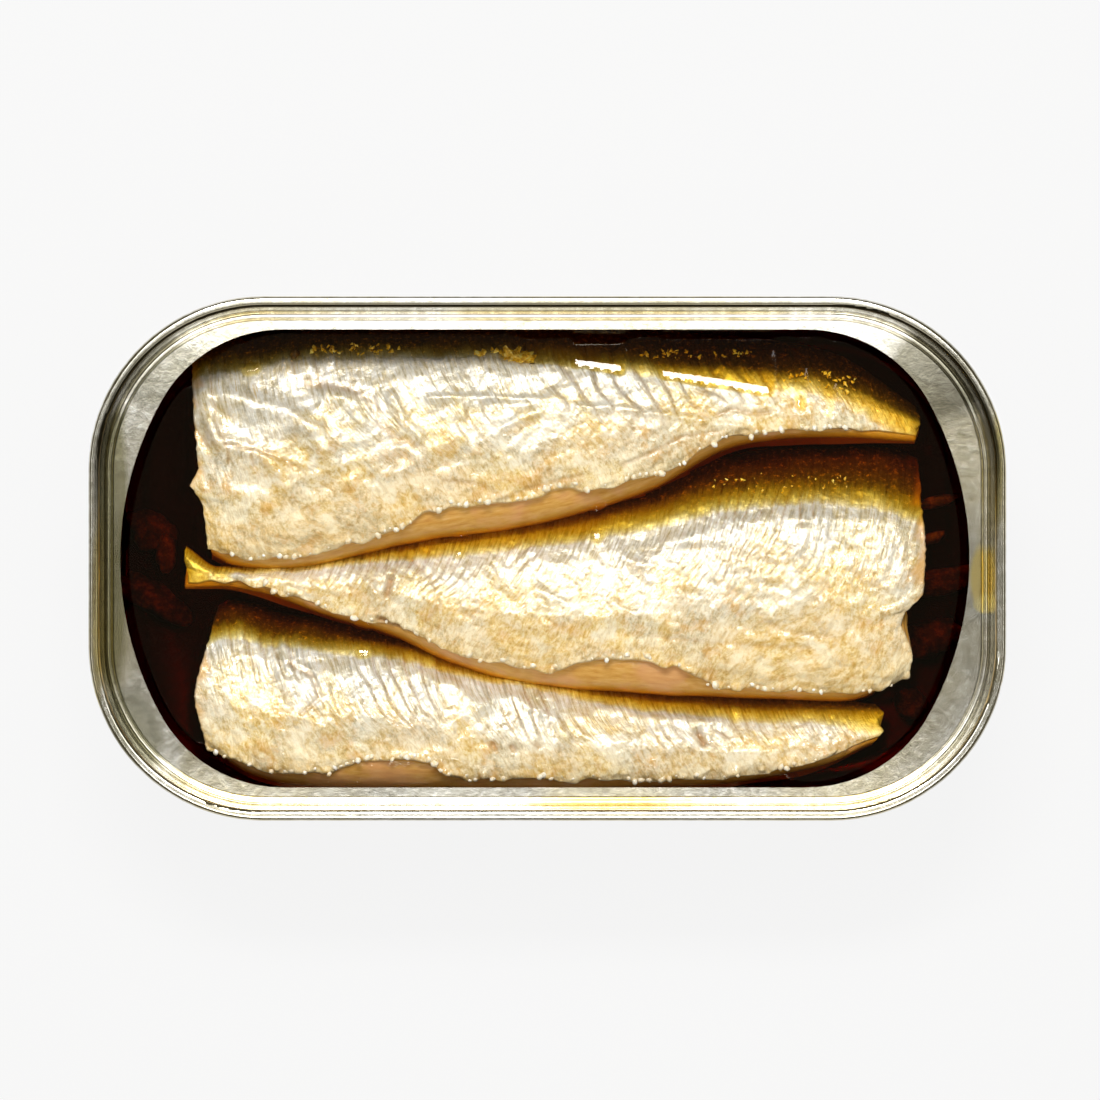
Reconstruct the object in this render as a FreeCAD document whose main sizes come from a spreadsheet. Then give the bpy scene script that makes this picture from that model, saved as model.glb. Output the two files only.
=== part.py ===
"""Opened sardine tin: a drawn tinplate can with the torn ring of its lid still seamed on,
filled with oil and three headless sardines that lie on their sides, head to tail.

+X runs along the tin, +Y towards the backs of the fish and +Z up. The origin is the centre
of the base, on the surface that the tin stands on. Sizes are in millimetres.
"""

import FreeCAD, Part
import math
import os

import Sketcher
from FreeCAD import Vector

doc = FreeCAD.newDocument("sardine_tin")

# ---------------------------------------------------------------- driving dimensions

SIZES = (
    ("tin_length", 105.0, "over the seam, along X"),
    ("tin_width", 60.0, "over the seam, along Y"),
    ("tin_height", 22.0, "base to the top of the seam"),
    ("corner_radius", 20.0, "outside of the seam, seen from above"),
    ("seam_thickness", 1.3, "double seam, outside to inside"),
    ("seam_height", 3.0, "double seam, top to its lower edge"),
    ("seam_round", 0.5, "rounding of the seam's edges"),
    ("hook_depth", 0.5, "seam top to the top of the body wall inside it"),
    ("body_gauge", 0.22, "sheet of the drawn body"),
    ("lid_gauge", 0.22, "sheet of the lid"),
    ("base_round", 2.4, "outside rounding between wall and base"),
    ("panel_inset", 5.0, "body wall to the raised base panel"),
    ("panel_rise", 0.8, "height of the raised base panel"),
    ("panel_round", 0.5, "rounding round the raised base panel"),
    ("ledge_depth", 3.3, "seam top to the upper face of the ledge"),
    ("groove_depth", 0.45, "ledge to the bottom of the groove beside the seam"),
    ("groove_width", 1.0, "groove between chuck wall and ledge"),
    ("chuck_lean", 0.35, "how far the chuck wall leans in on its way down"),
    ("ledge_width", 1.0, "flat ledge between the groove and the tear line, at mid-side"),
    ("end_bow", 37.0, "radius of the tear line's bowed ends"),
    ("tear_tightening", 1.35, "how much tighter the tear line turns than the ledge's outer corner"),
    ("tear_shift", -0.3, "tear line's centre along X"),
    ("oil_drop", 5.6, "ledge's lower face down to the oil"),
    ("fish_drop", 1.6, "ledge's lower face down to the top of the fish"),
    ("rest_gap", 0.3, "oil between the base panel and the fish that lie on it"),
    ("fish_gap", 0.4, "between two fish where one is laid over the other"),
    ("fish_roll", 7.0, "degrees that each fish is rolled, belly up over its neighbour's back"),
    ("top_cut_slant", -6.0, "degrees that the top fish's cut leans"),
    ("middle_cut_slant", -4.0, "degrees that the middle fish's cut leans"),
    ("bottom_cut_slant", -4.0, "degrees that the bottom fish's cut leans"),
    ("top_cut_gap", 10.6, "end wall to the cut end of the top fish"),
    ("top_tail_gap", 8.0, "end wall to the tail of the top fish"),
    ("middle_cut_gap", 8.0, "end wall to the cut end of the middle fish"),
    ("middle_tail_gap", 8.9, "end wall to the tail of the middle fish"),
    ("bottom_cut_gap", 10.8, "end wall to the cut end of the bottom fish"),
    ("bottom_tail_gap", 12.0, "end wall to the tail of the bottom fish"),
)

sheet = doc.addObject("Spreadsheet::Sheet", "sizes")
for row, (alias, value, meaning) in enumerate(SIZES, start=1):
    sheet.set(f"A{row}", meaning)
    sheet.set(f"B{row}", str(value))
    sheet.setAlias(f"B{row}", alias)
doc.recompute()

WALL_OUT = "sizes.seam_thickness - sizes.lid_gauge - sizes.body_gauge"
WALL_IN = "sizes.seam_thickness - sizes.lid_gauge"
WALL_TOP = "sizes.tin_height - sizes.hook_depth"
GROOVE_END = "sizes.seam_thickness + sizes.chuck_lean + sizes.groove_width"
LEDGE_LOW = "sizes.tin_height - sizes.ledge_depth - sizes.lid_gauge"


def size(alias):
    """The value of one cell of the sheet, in millimetres."""
    return float(sheet.get(alias))


# ---------------------------------------------------------------- sketch helpers


def new_body(label):
    body = doc.addObject("PartDesign::Body", label)
    body.Label = label
    return body


def sketch_on_base(body, name, height):
    """A sketch parallel to the body's XY plane, at the height that the expression gives."""
    sketch = body.newObject("Sketcher::SketchObject", name)
    plane = next(f for f in body.Origin.OriginFeatures if f.Role == "XY_Plane")
    sketch.AttachmentSupport = [(plane, "")]
    sketch.MapMode = "FlatFace"
    sketch.setExpression(".AttachmentOffset.Base.z", height)
    return sketch


def tie(sketch, index, name, expression):
    """Names a dimension of the sketch and binds it to the sheet."""
    sketch.renameConstraint(index, name)
    sketch.setExpression(f".Constraints.{name}", expression)


def draw_rounded_rectangle(sketch, inset, prefix):
    """Four sides and four tangent arcs round the origin: the seam's outline moved in by inset."""
    half_x = size("tin_length") / 2 - 1
    half_y = size("tin_width") / 2 - 1
    radius = size("corner_radius") - 2
    first = sketch.GeometryCount
    right, top = half_x - radius, half_y - radius
    corners = ((right, top, 0), (-right, top, 90), (-right, -top, 180), (right, -top, 270))
    for x, y, start in corners:
        circle = Part.Circle(Vector(x, y, 0), Vector(0, 0, 1), radius)
        begin = math.radians(start)
        sketch.addGeometry(Part.ArcOfCircle(circle, begin, begin + math.pi / 2), False)
    ends = (
        ((right, half_y), (-right, half_y)),
        ((-half_x, top), (-half_x, -top)),
        ((-right, -half_y), (right, -half_y)),
        ((half_x, -top), (half_x, top)),
    )
    for (x0, y0), (x1, y1) in ends:
        sketch.addGeometry(Part.LineSegment(Vector(x0, y0, 0), Vector(x1, y1, 0)), False)
    arcs = [first + k for k in range(4)]
    sides = [first + 4 + k for k in range(4)]
    for k in range(4):
        sketch.addConstraint(Sketcher.Constraint("Tangent", arcs[k], 2, sides[k], 1))
        sketch.addConstraint(Sketcher.Constraint("Tangent", sides[k], 2, arcs[(k + 1) % 4], 1))
    for k in (1, 2, 3):
        sketch.addConstraint(Sketcher.Constraint("Equal", arcs[0], arcs[k]))
    sketch.addConstraint(Sketcher.Constraint("Horizontal", sides[0]))
    sketch.addConstraint(Sketcher.Constraint("Vertical", sides[1]))
    sketch.addConstraint(Sketcher.Constraint("Symmetric", sides[0], 1, sides[2], 1, -1, 1))
    sketch.addConstraint(Sketcher.Constraint("Symmetric", sides[1], 1, sides[3], 1, -1, 1))
    length = Sketcher.Constraint("DistanceX", sides[1], 1, sides[3], 1, 2 * half_x)
    width = Sketcher.Constraint("DistanceY", sides[2], 1, sides[0], 1, 2 * half_y)
    tie(sketch, sketch.addConstraint(length), f"{prefix}_length", f"sizes.tin_length - 2 * ({inset})")
    tie(sketch, sketch.addConstraint(width), f"{prefix}_width", f"sizes.tin_width - 2 * ({inset})")
    turn = sketch.addConstraint(Sketcher.Constraint("Radius", arcs[0], radius))
    tie(sketch, turn, f"{prefix}_radius", f"sizes.corner_radius - ({inset})")


def draw_torn_opening(sketch):
    """The lid's tear line: straight sides, bowed ends, and a tangent arc at each corner."""
    inset = size("seam_thickness") + size("chuck_lean") + size("groove_width")
    half_x = size("tin_length") / 2 - inset - size("ledge_width")
    half_y = size("tin_width") / 2 - inset - size("ledge_width")
    corner = size("corner_radius") - inset - size("tear_tightening")
    bow, shift = size("end_bow"), size("tear_shift")
    bow_x = half_x - bow
    rise = half_y - corner
    turn_x = bow_x + math.sqrt((bow - corner) ** 2 - rise**2)
    lean = math.atan2(rise, turn_x - bow_x)

    def arc(x, y, radius, begin, end):
        circle = Part.Circle(Vector(x + shift, y, 0), Vector(0, 0, 1), radius)
        return Part.ArcOfCircle(circle, begin, end)

    def side(x0, x1, y):
        return Part.LineSegment(Vector(x0 + shift, y, 0), Vector(x1 + shift, y, 0))

    pieces = [
        arc(bow_x, 0, bow, -lean, lean),
        arc(turn_x, rise, corner, lean, math.pi / 2),
        side(turn_x, -turn_x, half_y),
        arc(-turn_x, rise, corner, math.pi / 2, math.pi - lean),
        arc(-bow_x, 0, bow, math.pi - lean, math.pi + lean),
        arc(-turn_x, -rise, corner, math.pi + lean, 1.5 * math.pi),
        side(-turn_x, turn_x, -half_y),
        arc(turn_x, -rise, corner, 1.5 * math.pi, 2 * math.pi - lean),
    ]
    for piece in pieces:
        sketch.addGeometry(piece, False)
    for k in range(8):
        sketch.addConstraint(Sketcher.Constraint("Tangent", k, 2, (k + 1) % 8, 1))
    for k in (3, 5, 7):
        sketch.addConstraint(Sketcher.Constraint("Equal", 1, k))
    sketch.addConstraint(Sketcher.Constraint("Equal", 0, 4))
    sketch.addConstraint(Sketcher.Constraint("Horizontal", 2))
    sketch.addConstraint(Sketcher.Constraint("PointOnObject", 0, 3, -1))
    sketch.addConstraint(Sketcher.Constraint("PointOnObject", 4, 3, -1))
    sketch.addConstraint(Sketcher.Constraint("Symmetric", 2, 1, 6, 2, -1))
    bound = (
        (
            Sketcher.Constraint("Radius", 1, corner),
            "corner",
            f"sizes.corner_radius - ({GROOVE_END}) - sizes.tear_tightening",
        ),
        (Sketcher.Constraint("Radius", 0, bow), "bow", "sizes.end_bow"),
        (
            Sketcher.Constraint("DistanceY", 6, 1, 2, 2, 2 * half_y),
            "width",
            f"sizes.tin_width - 2 * ({GROOVE_END} + sizes.ledge_width)",
        ),
    )
    for constraint, name, expression in bound:
        tie(sketch, sketch.addConstraint(constraint), name, expression)
    reach = f"(sizes.tin_length / 2 - ({GROOVE_END}) - sizes.ledge_width - sizes.end_bow)"
    for arc_index, name, expression in (
        (0, "right_bow", f"{reach} + sizes.tear_shift"),
        (4, "left_bow", f"-{reach} + sizes.tear_shift"),
    ):
        x = (bow_x if arc_index == 0 else -bow_x) + shift
        placed = Sketcher.Constraint("DistanceX", -1, 1, arc_index, 3, x)
        tie(sketch, sketch.addConstraint(placed), name, expression)


def pad(body, sketch, name, length):
    feature = body.newObject("PartDesign::Pad", name)
    feature.Profile = sketch
    feature.setExpression("Length", length)
    return feature


def fillet(body, base, name, edges, radius):
    feature = body.newObject("PartDesign::Fillet", name)
    feature.Base = (base, edges)
    feature.setExpression("Radius", radius)
    return feature


def edges_at(feature, height):
    """Names of the feature's edges that lie level at this height."""
    found = []
    for number, edge in enumerate(feature.Shape.Edges, start=1):
        box = edge.BoundBox
        if abs(box.ZMin - height) < 1e-4 and abs(box.ZMax - height) < 1e-4:
            found.append(f"Edge{number}")
    return found


# ---------------------------------------------------------------- the drawn body


def tray(label, inset, floor, top, corner, panel_inset, panel_corner):
    """A solid tray form with a rounded lower edge and a raised panel pressed into its base."""
    body = new_body(label)
    outline = sketch_on_base(body, label + "_outline", floor)
    draw_rounded_rectangle(outline, inset, "wall")
    block = pad(body, outline, label + "_block", f"{top} - ({floor})")
    doc.recompute()
    low = block.Shape.BoundBox.ZMin
    rounded = fillet(body, block, label + "_edge", edges_at(block, low), corner)
    doc.recompute()
    panel = sketch_on_base(body, label + "_panel", floor)
    draw_rounded_rectangle(panel, panel_inset, "panel")
    pressed = body.newObject("PartDesign::Pocket", label + "_press")
    pressed.Profile = panel
    pressed.setExpression("Length", "sizes.panel_rise")
    pressed.Reversed = True
    doc.recompute()
    if pressed.Shape.Volume >= rounded.Shape.Volume:
        raise RuntimeError(f"{label}: the base panel wasn't pressed in")
    roof = edges_at(pressed, low + size("panel_rise"))
    fillet(body, pressed, label + "_press_edge", roof, panel_corner)
    doc.recompute()
    return body


outer_form = tray(
    "outer_form",
    WALL_OUT,
    "0",
    WALL_TOP,
    "sizes.base_round",
    "sizes.panel_inset",
    "sizes.panel_round",
)
cavity = tray(
    "cavity",
    WALL_IN,
    "sizes.body_gauge",
    WALL_TOP,
    "sizes.base_round - sizes.body_gauge",
    "sizes.panel_inset - sizes.body_gauge",
    "sizes.panel_round + sizes.body_gauge",
)
tin_body = doc.addObject("Part::Cut", "tin_body")
tin_body.Base = outer_form
tin_body.Tool = cavity
doc.recompute()

# ---------------------------------------------------------------- the lid's torn ring


def seam_path():
    """The line that the lid's section follows: the outside of the seam, from the middle of an end."""
    half_x, half_y = size("tin_length") / 2, size("tin_width") / 2
    radius = size("corner_radius")
    right, top = half_x - radius, half_y - radius
    slant = radius * math.sqrt(0.5)

    def point(x, y):
        return Vector(x, y, size("tin_height"))

    def corner(sx, sy, from_side):
        ends = [point(sx * half_x, sy * top), point(sx * right, sy * half_y)]
        if not from_side:
            ends.reverse()
        middle = point(sx * (right + slant), sy * (top + slant))
        return Part.Arc(ends[0], middle, ends[1]).toShape()

    def line(a, b):
        return Part.LineSegment(point(*a), point(*b)).toShape()

    return Part.Wire([
        line((half_x, 0), (half_x, top)),
        corner(1, 1, True),
        line((right, half_y), (-right, half_y)),
        corner(-1, 1, False),
        line((-half_x, top), (-half_x, -top)),
        corner(-1, -1, True),
        line((-right, -half_y), (right, -half_y)),
        corner(1, -1, False),
        line((half_x, -top), (half_x, 0)),
    ])


def lid_section():
    """Section of the ring across its end: seam bead, leaning chuck wall, groove and ledge."""
    edge, top = size("tin_length") / 2, size("tin_height")
    gauge, thick, bead = size("lid_gauge"), size("seam_thickness"), size("seam_round")
    seam_low = top - size("seam_height")
    ledge_top = top - size("ledge_depth")
    groove_low = ledge_top - size("groove_depth")
    foot = thick + size("chuck_lean")
    groove_end = foot + size("groove_width")
    tip = groove_end + gauge
    wall = thick - gauge

    def at(inset, height):
        return Vector(edge - inset, 0, height)

    def round_to(start, through, end):
        return Part.Arc(at(*start), at(*through), at(*end)).toShape()

    def line(start, end):
        return Part.LineSegment(at(*start), at(*end)).toShape()

    near = bead * (1 - math.sqrt(0.5))
    groove_mid = (foot + groove_end) / 2
    return Part.Wire([
        line((0, seam_low + bead), (0, top - bead)),
        round_to((0, top - bead), (near, top - near), (bead, top)),
        line((bead, top), (thick - bead, top)),
        round_to((thick - bead, top), (thick - near, top - near), (thick, top - bead)),
        line((thick, top - bead), (foot, ledge_top)),
        round_to((foot, ledge_top), (groove_mid, groove_low), (groove_end, ledge_top)),
        line((groove_end, ledge_top), (tip, ledge_top)),
        line((tip, ledge_top), (tip, ledge_top - gauge)),
        round_to(
            (tip, ledge_top - gauge),
            (groove_mid, groove_low - gauge),
            (wall, ledge_top - gauge),
        ),
        line((wall, ledge_top - gauge), (wall, seam_low)),
        line((wall, seam_low), (bead, seam_low)),
        round_to((bead, seam_low), (near, seam_low + near), (0, seam_low + bead)),
    ])


rolled_rim = doc.addObject("Part::Feature", "rolled_rim")
rolled_rim.Shape = seam_path().makePipeShell([lid_section()], True, False)

ledge = new_body("ledge")
ledge_outline = sketch_on_base(ledge, "ledge_outline", LEDGE_LOW)
draw_rounded_rectangle(ledge_outline, GROOVE_END, "ledge")
ledge_plate = pad(ledge, ledge_outline, "ledge_plate", "sizes.lid_gauge")
doc.recompute()
tear_line = sketch_on_base(ledge, "tear_line", LEDGE_LOW)
draw_torn_opening(tear_line)
torn = ledge.newObject("PartDesign::Pocket", "torn_out")
torn.Profile = tear_line
torn.Type = 1
torn.Reversed = True
doc.recompute()
if torn.Shape.Volume >= ledge_plate.Shape.Volume:
    raise RuntimeError("the opening wasn't torn out of the ledge")

whole_ring = doc.addObject("Part::Fuse", "whole_ring")
whole_ring.Base = rolled_rim
whole_ring.Tool = ledge
doc.recompute()
lid_ring = doc.addObject("Part::Cut", "lid_ring")
lid_ring.Base = whole_ring
lid_ring.Tool = tin_body
doc.recompute()

# ---------------------------------------------------------------- the three fish

# Each row is one section of a fish, from the cut end to the tail: how far along the fish it is,
# its belly and back edges as shares of the tin's half width, and its lowest and highest points
# as shares of the room's height.
FISH = {
    "top": (
        (0.00, -0.020, 0.870, 0.02, 0.90),
        (0.08, -0.070, 0.910, 0.00, 0.97),
        (0.28, 0.030, 0.940, 0.00, 1.00),
        (0.50, 0.125, 0.935, 0.02, 0.97),
        (0.63, 0.245, 0.905, 0.05, 0.94),
        (0.76, 0.410, 0.850, 0.14, 0.90),
        (0.90, 0.455, 0.725, 0.38, 0.85),
        (1.00, 0.465, 0.600, 0.56, 0.80),
    ),
    "middle": (
        (0.00, -0.560, 0.410, 0.02, 0.90),
        (0.07, -0.600, 0.450, 0.00, 0.97),
        (0.22, -0.590, 0.450, 0.00, 1.00),
        (0.42, -0.560, 0.260, 0.00, 0.98),
        (0.60, -0.470, 0.175, 0.04, 0.95),
        (0.74, -0.320, 0.110, 0.14, 0.90),
        (0.88, -0.200, 0.020, 0.38, 0.80),
        (1.00, -0.150, -0.040, 0.54, 0.73),
    ),
    "bottom": (
        (0.00, -0.870, -0.170, 0.02, 0.90),
        (0.08, -0.915, -0.200, 0.00, 0.96),
        (0.27, -0.940, -0.300, 0.00, 0.98),
        (0.46, -0.945, -0.380, 0.02, 0.95),
        (0.64, -0.935, -0.460, 0.08, 0.90),
        (0.80, -0.900, -0.540, 0.20, 0.86),
        (0.93, -0.820, -0.580, 0.42, 0.81),
        (1.00, -0.735, -0.600, 0.56, 0.77),
    ),
}
RING_POLES = 8
FULLNESS = 2.7
KEEL = 0.12
BLUNTNESS = 0.6


def ring_of_poles(centre, half_width, half_height, slant, roll):
    """Control points round one section: fuller than an ellipse and thinner towards the belly."""
    corner = 2 ** (-1 / FULLNESS)
    reach = 6 / (4 + 2 * corner)
    poles = []
    for k in range(RING_POLES):
        angle = 2 * math.pi * k / RING_POLES
        cosine, sine = math.cos(angle), math.sin(angle)
        stretch = reach * (corner * math.sqrt(2) if k % 2 else 1.0)
        across = stretch * cosine * half_width
        up = stretch * sine * half_height * (1 + KEEL * cosine)
        y = across * math.cos(roll) + up * math.sin(roll)
        z = up * math.cos(roll) - across * math.sin(roll)
        poles.append(centre + Vector(slant * y, y, z))
    return poles


def closed_solid(rings):
    """A solid inside a smooth surface over the rings, capped flat at both ends."""
    knots = len(rings) - 2
    surface = Part.BSplineSurface()
    surface.buildFromPolesMultsKnots(
        [list(pole_row) for pole_row in zip(*rings)],
        [1] * (RING_POLES + 1),
        [4] + [1] * (knots - 2) + [4],
        list(range(RING_POLES + 1)),
        list(range(knots)),
        True,
        False,
        3,
        3,
    )
    skin = surface.toShape()
    rims = [edge for edge in skin.Edges if edge.isClosed()]
    caps = [Part.Face(Part.Wire([rim])) for rim in rims]
    shell = Part.Shell([skin] + caps)
    shell.sewShape()
    return Part.Solid(shell)


def fish_form(label, name, growth=0.0):
    """The fish from its cut end to its tail, larger all round by the growth."""
    inset = size("seam_thickness") - size("lid_gauge")
    half_width = size("tin_width") / 2 - inset
    cut_x = size(f"{name}_cut_gap") - (size("tin_length") / 2 - inset) - growth
    tail_x = (size("tin_length") / 2 - inset) - size(f"{name}_tail_gap") + growth
    floor = size("body_gauge") + size("panel_rise") + size("rest_gap")
    room = size("tin_height") - size("ledge_depth") - size("lid_gauge") - size("fish_drop") - floor
    facing = -1 if name == "middle" else 1
    roll = math.radians(size("fish_roll"))
    rows = [(BLUNTNESS, *FISH[name][0])]
    rows += [(1.0, *row) for row in FISH[name]]
    rows.append((BLUNTNESS, *FISH[name][-1]))
    rings = []
    for scale, along, belly, back, low, high in rows:
        centre = Vector(
            facing * (cut_x + along * (tail_x - cut_x)),
            half_width * (belly + back) / 2,
            floor + room * (low + high) / 2,
        )
        across = half_width * (back - belly) / 2 + growth
        tall = room * (high - low) / 2
        upright = math.sqrt(tall**2 - (across * math.sin(roll)) ** 2) + growth
        slant = -math.tan(math.radians(size(f"{name}_cut_slant"))) * (1 - along) ** 4
        rings.append(ring_of_poles(centre, scale * across, scale * upright, slant, roll))
    form = doc.addObject("Part::Feature", label)
    form.Shape = closed_solid(rings)
    return form


def without(label, base, tool):
    """The base with the tool's room cut out of it."""
    cut = doc.addObject("Part::Cut", label)
    cut.Base = base
    cut.Tool = tool
    return cut


sardine_top = fish_form("sardine_top", "top")
middle_whole = fish_form("middle_whole", "middle")
bottom_whole = fish_form("bottom_whole", "bottom")
over_middle = fish_form("over_middle", "top", size("fish_gap"))
over_bottom = fish_form("over_bottom", "middle", size("fish_gap"))
sardine_middle = without("sardine_middle", middle_whole, over_middle)
sardine_bottom = without("sardine_bottom", bottom_whole, over_bottom)
doc.recompute()

# ---------------------------------------------------------------- the oil

OIL_TOP = f"({LEDGE_LOW} - sizes.oil_drop)"

oil_room = doc.addObject("Part::Box", "oil_room")
oil_room.setExpression("Length", "sizes.tin_length")
oil_room.setExpression("Width", "sizes.tin_width")
oil_room.setExpression("Height", OIL_TOP)
oil_room.setExpression("Placement.Base.x", "-sizes.tin_length / 2")
oil_room.setExpression("Placement.Base.y", "-sizes.tin_width / 2")
oil_fill = doc.addObject("Part::Common", "oil_fill")
oil_fill.Base = cavity
oil_fill.Tool = oil_room
oil_beside_top = without("oil_beside_top", oil_fill, sardine_top)
oil_beside_middle = without("oil_beside_middle", oil_beside_top, middle_whole)
oil = without("oil", oil_beside_middle, bottom_whole)
doc.recompute()

# ---------------------------------------------------------------- checks and files

PARTS = (tin_body, lid_ring, oil, sardine_top, sardine_middle, sardine_bottom)

for item in doc.Objects:
    if "Invalid" in item.State or "Error" in item.State:
        raise RuntimeError(f"{item.Label} wasn't built: {item.getStatusString()}")
for part in PARTS:
    if part.Shape.isNull() or not part.Shape.isValid() or len(part.Shape.Solids) != 1:
        raise RuntimeError(f"{part.Label} isn't one valid solid")

os.makedirs("parts", exist_ok=True)
for part in PARTS:
    part.Shape.exportStep(f"parts/{part.Label}.step")
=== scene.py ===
"""Looks of the opened sardine tin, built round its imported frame.

Three cooked sardines lie in amber oil in a drawn tinplate tin. The tin keeps its own shape and
gets its finish here; the fish and the oil are replaced by detailed pieces of the same size.
"""

import math

import bpy
import numpy as np
from bpy.props import FloatProperty, FloatVectorProperty, IntProperty, PointerProperty
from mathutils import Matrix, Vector
from mathutils.bvhtree import BVHTree


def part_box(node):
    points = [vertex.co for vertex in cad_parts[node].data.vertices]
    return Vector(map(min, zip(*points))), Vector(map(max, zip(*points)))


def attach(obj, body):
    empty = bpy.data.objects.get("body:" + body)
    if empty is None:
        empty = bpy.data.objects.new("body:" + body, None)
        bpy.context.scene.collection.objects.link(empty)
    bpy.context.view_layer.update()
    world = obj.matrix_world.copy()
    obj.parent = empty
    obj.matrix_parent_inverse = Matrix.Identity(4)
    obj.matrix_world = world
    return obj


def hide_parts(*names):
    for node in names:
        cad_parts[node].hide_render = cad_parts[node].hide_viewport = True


bl_info = {
    "name": "Sardine tin",
    "version": (1, 0, 0),
    "blender": (4, 5, 0),
    "location": "View3D > Sidebar > Sardine tin",
    "description": "Dresses an opened tin with tinplate, cooked sardines and oil",
    "category": "Add Mesh",
}

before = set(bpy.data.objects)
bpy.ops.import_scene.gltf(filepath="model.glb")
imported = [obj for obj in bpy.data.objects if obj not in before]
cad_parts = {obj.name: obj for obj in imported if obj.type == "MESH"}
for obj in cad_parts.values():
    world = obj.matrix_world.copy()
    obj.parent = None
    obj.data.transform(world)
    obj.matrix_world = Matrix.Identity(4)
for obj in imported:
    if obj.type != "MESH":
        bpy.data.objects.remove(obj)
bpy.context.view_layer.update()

MM = 0.001
OIL_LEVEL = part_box("oil")[1][2]
OIL_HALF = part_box("oil")[1][:2]
SEAM_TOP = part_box("lid_ring")[1][2]


# ---------------------------------------------------------------- colour and node helpers


def srgb(code):
    """A hex colour as the linear value that a shader socket takes."""
    values = [int(code[k : k + 2], 16) / 255 for k in (1, 3, 5)]
    return (*(v / 12.92 if v <= 0.04045 else ((v + 0.055) / 1.055) ** 2.4 for v in values), 1.0)


def new_material(name):
    """A material with an empty node tree, and that tree."""
    material = bpy.data.materials.new(name)
    material.use_nodes = True
    material.node_tree.nodes.clear()
    return material, material.node_tree


def node(tree, kind, *inputs, out=None, stops=(), **settings):
    """Adds a node with its settings and links, and gives the output asked for, or its first one.

    The inputs fill the sockets that the node shows, in order, each with a socket, a number, a vector
    or a hex colour. A setting is the node's own or, by name, a socket. Stops are for a colour ramp.
    """
    made = tree.nodes.new("ShaderNode" + kind)
    if kind == "Mix":
        made.data_type = settings.pop("data_type", "RGBA")
    for key in [key for key in settings if hasattr(made, key)]:
        setattr(made, key, settings.pop(key))
    filled = list(zip([socket for socket in made.inputs if socket.enabled], inputs))
    filled += [(made.inputs[key.replace("_", " ")], value) for key, value in settings.items()]
    for socket, value in filled:
        if isinstance(value, bpy.types.NodeSocket):
            tree.links.new(value, socket)
        else:
            socket.default_value = srgb(value) if isinstance(value, str) else value
    if stops:
        elements = made.color_ramp.elements
        while len(elements) < len(stops):
            elements.new(0.5)
        for element, (place, colour) in zip(elements, stops):
            element.position, element.color = place, srgb(colour)
    return made.outputs[out] if out else next((socket for socket in made.outputs if socket.enabled), None)


# ---------------------------------------------------------------- noise for modelled relief


class Noise:
    """Smooth repeatable noise over a plane, from -1 to 1."""

    def __init__(self, seed):
        self.table = np.random.RandomState(seed).uniform(-1, 1, (256, 256))

    def at(self, x, y):
        """One octave with a feature size of one unit."""
        x, y = np.broadcast_arrays(np.asarray(x, float), np.asarray(y, float))
        left, low = np.floor(x).astype(int), np.floor(y).astype(int)
        fx, fy = x - left, y - low
        fx, fy = fx * fx * (3 - 2 * fx), fy * fy * (3 - 2 * fy)
        table = self.table
        a, b = table[left & 255, low & 255], table[(left + 1) & 255, low & 255]
        c, d = table[left & 255, (low + 1) & 255], table[(left + 1) & 255, (low + 1) & 255]
        return (a * (1 - fx) + b * fx) * (1 - fy) + (c * (1 - fx) + d * fx) * fy

    def layered(self, x, y, octaves=3, fall=0.5):
        """Several octaves, each twice as fine and weaker by the fall."""
        total, weight, sum_of_weights = 0.0, 1.0, 0.0
        for octave in range(octaves):
            total = total + weight * self.at(x * 2**octave + 17.3 * octave, y * 2**octave - 9.1 * octave)
            sum_of_weights += weight
            weight *= fall
        return total / sum_of_weights


def smooth(value, low, high):
    """0 below low, 1 above high, and a smooth step between."""
    share = np.clip((value - low) / (high - low), 0, 1)
    return share * share * (3 - 2 * share)


def between(value, low, high, outside, inside):
    """1 between two limits and 0 beyond, with smooth steps that reach this far outside and inside."""
    rising = smooth(value, low - outside, low + inside)
    return rising * (1 - smooth(value, high - inside, high + outside))


def read_off(rows, at):
    """The value at a place, from rows of place and value."""
    return np.interp(at, *zip(*rows))


# ---------------------------------------------------------------- mesh helpers


def deselect():
    """Leaves edit mode and selects nothing."""
    if bpy.context.object and bpy.context.object.mode != "OBJECT":
        bpy.ops.object.mode_set(mode="OBJECT")
    bpy.ops.object.select_all(action="DESELECT")


def open_up(piece):
    """Opens this piece alone in edit mode, with all of it selected."""
    deselect()
    piece.select_set(True)
    bpy.context.view_layer.objects.active = piece
    bpy.ops.object.mode_set(mode="EDIT")
    bpy.ops.mesh.select_all(action="SELECT")


def just_added(name):
    """The piece that an operator has just made, named."""
    piece = bpy.context.object
    piece.name = piece.data.name = name
    return piece


def read_points(piece):
    """The piece's vertices, one to a row."""
    points = np.empty(len(piece.data.vertices) * 3)
    piece.data.vertices.foreach_get("co", points)
    return points.reshape(-1, 3)


def write_points(piece, points):
    """Puts the piece's vertices in these places."""
    piece.data.vertices.foreach_set("co", points.ravel())
    piece.data.update()


def turned(points, angle, first, second):
    """Points turned by an angle from one axis towards another."""
    turn = np.eye(3)
    turn[first, first] = turn[second, second] = math.cos(angle)
    turn[first, second], turn[second, first] = -math.sin(angle), math.sin(angle)
    return points @ turn.T


def grid_piece(name, along, across):
    """A flat grid of so many steps each way, ready to be rolled, bent or pressed to shape."""
    deselect()
    bpy.ops.mesh.primitive_grid_add(x_subdivisions=along, y_subdivisions=across, size=1)
    return just_added(name)


def place_grid(piece, points):
    """Puts the grid's vertices at points[i, j], i along its X and j along its Y.

    Gives each vertex's i and j.
    """
    steps = np.array(points.shape[:2]) - 1
    cell = np.rint((read_points(piece)[:, :2] + 0.5) * steps).astype(int)
    write_points(piece, points[cell[:, 0], cell[:, 1]])
    return cell


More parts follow.
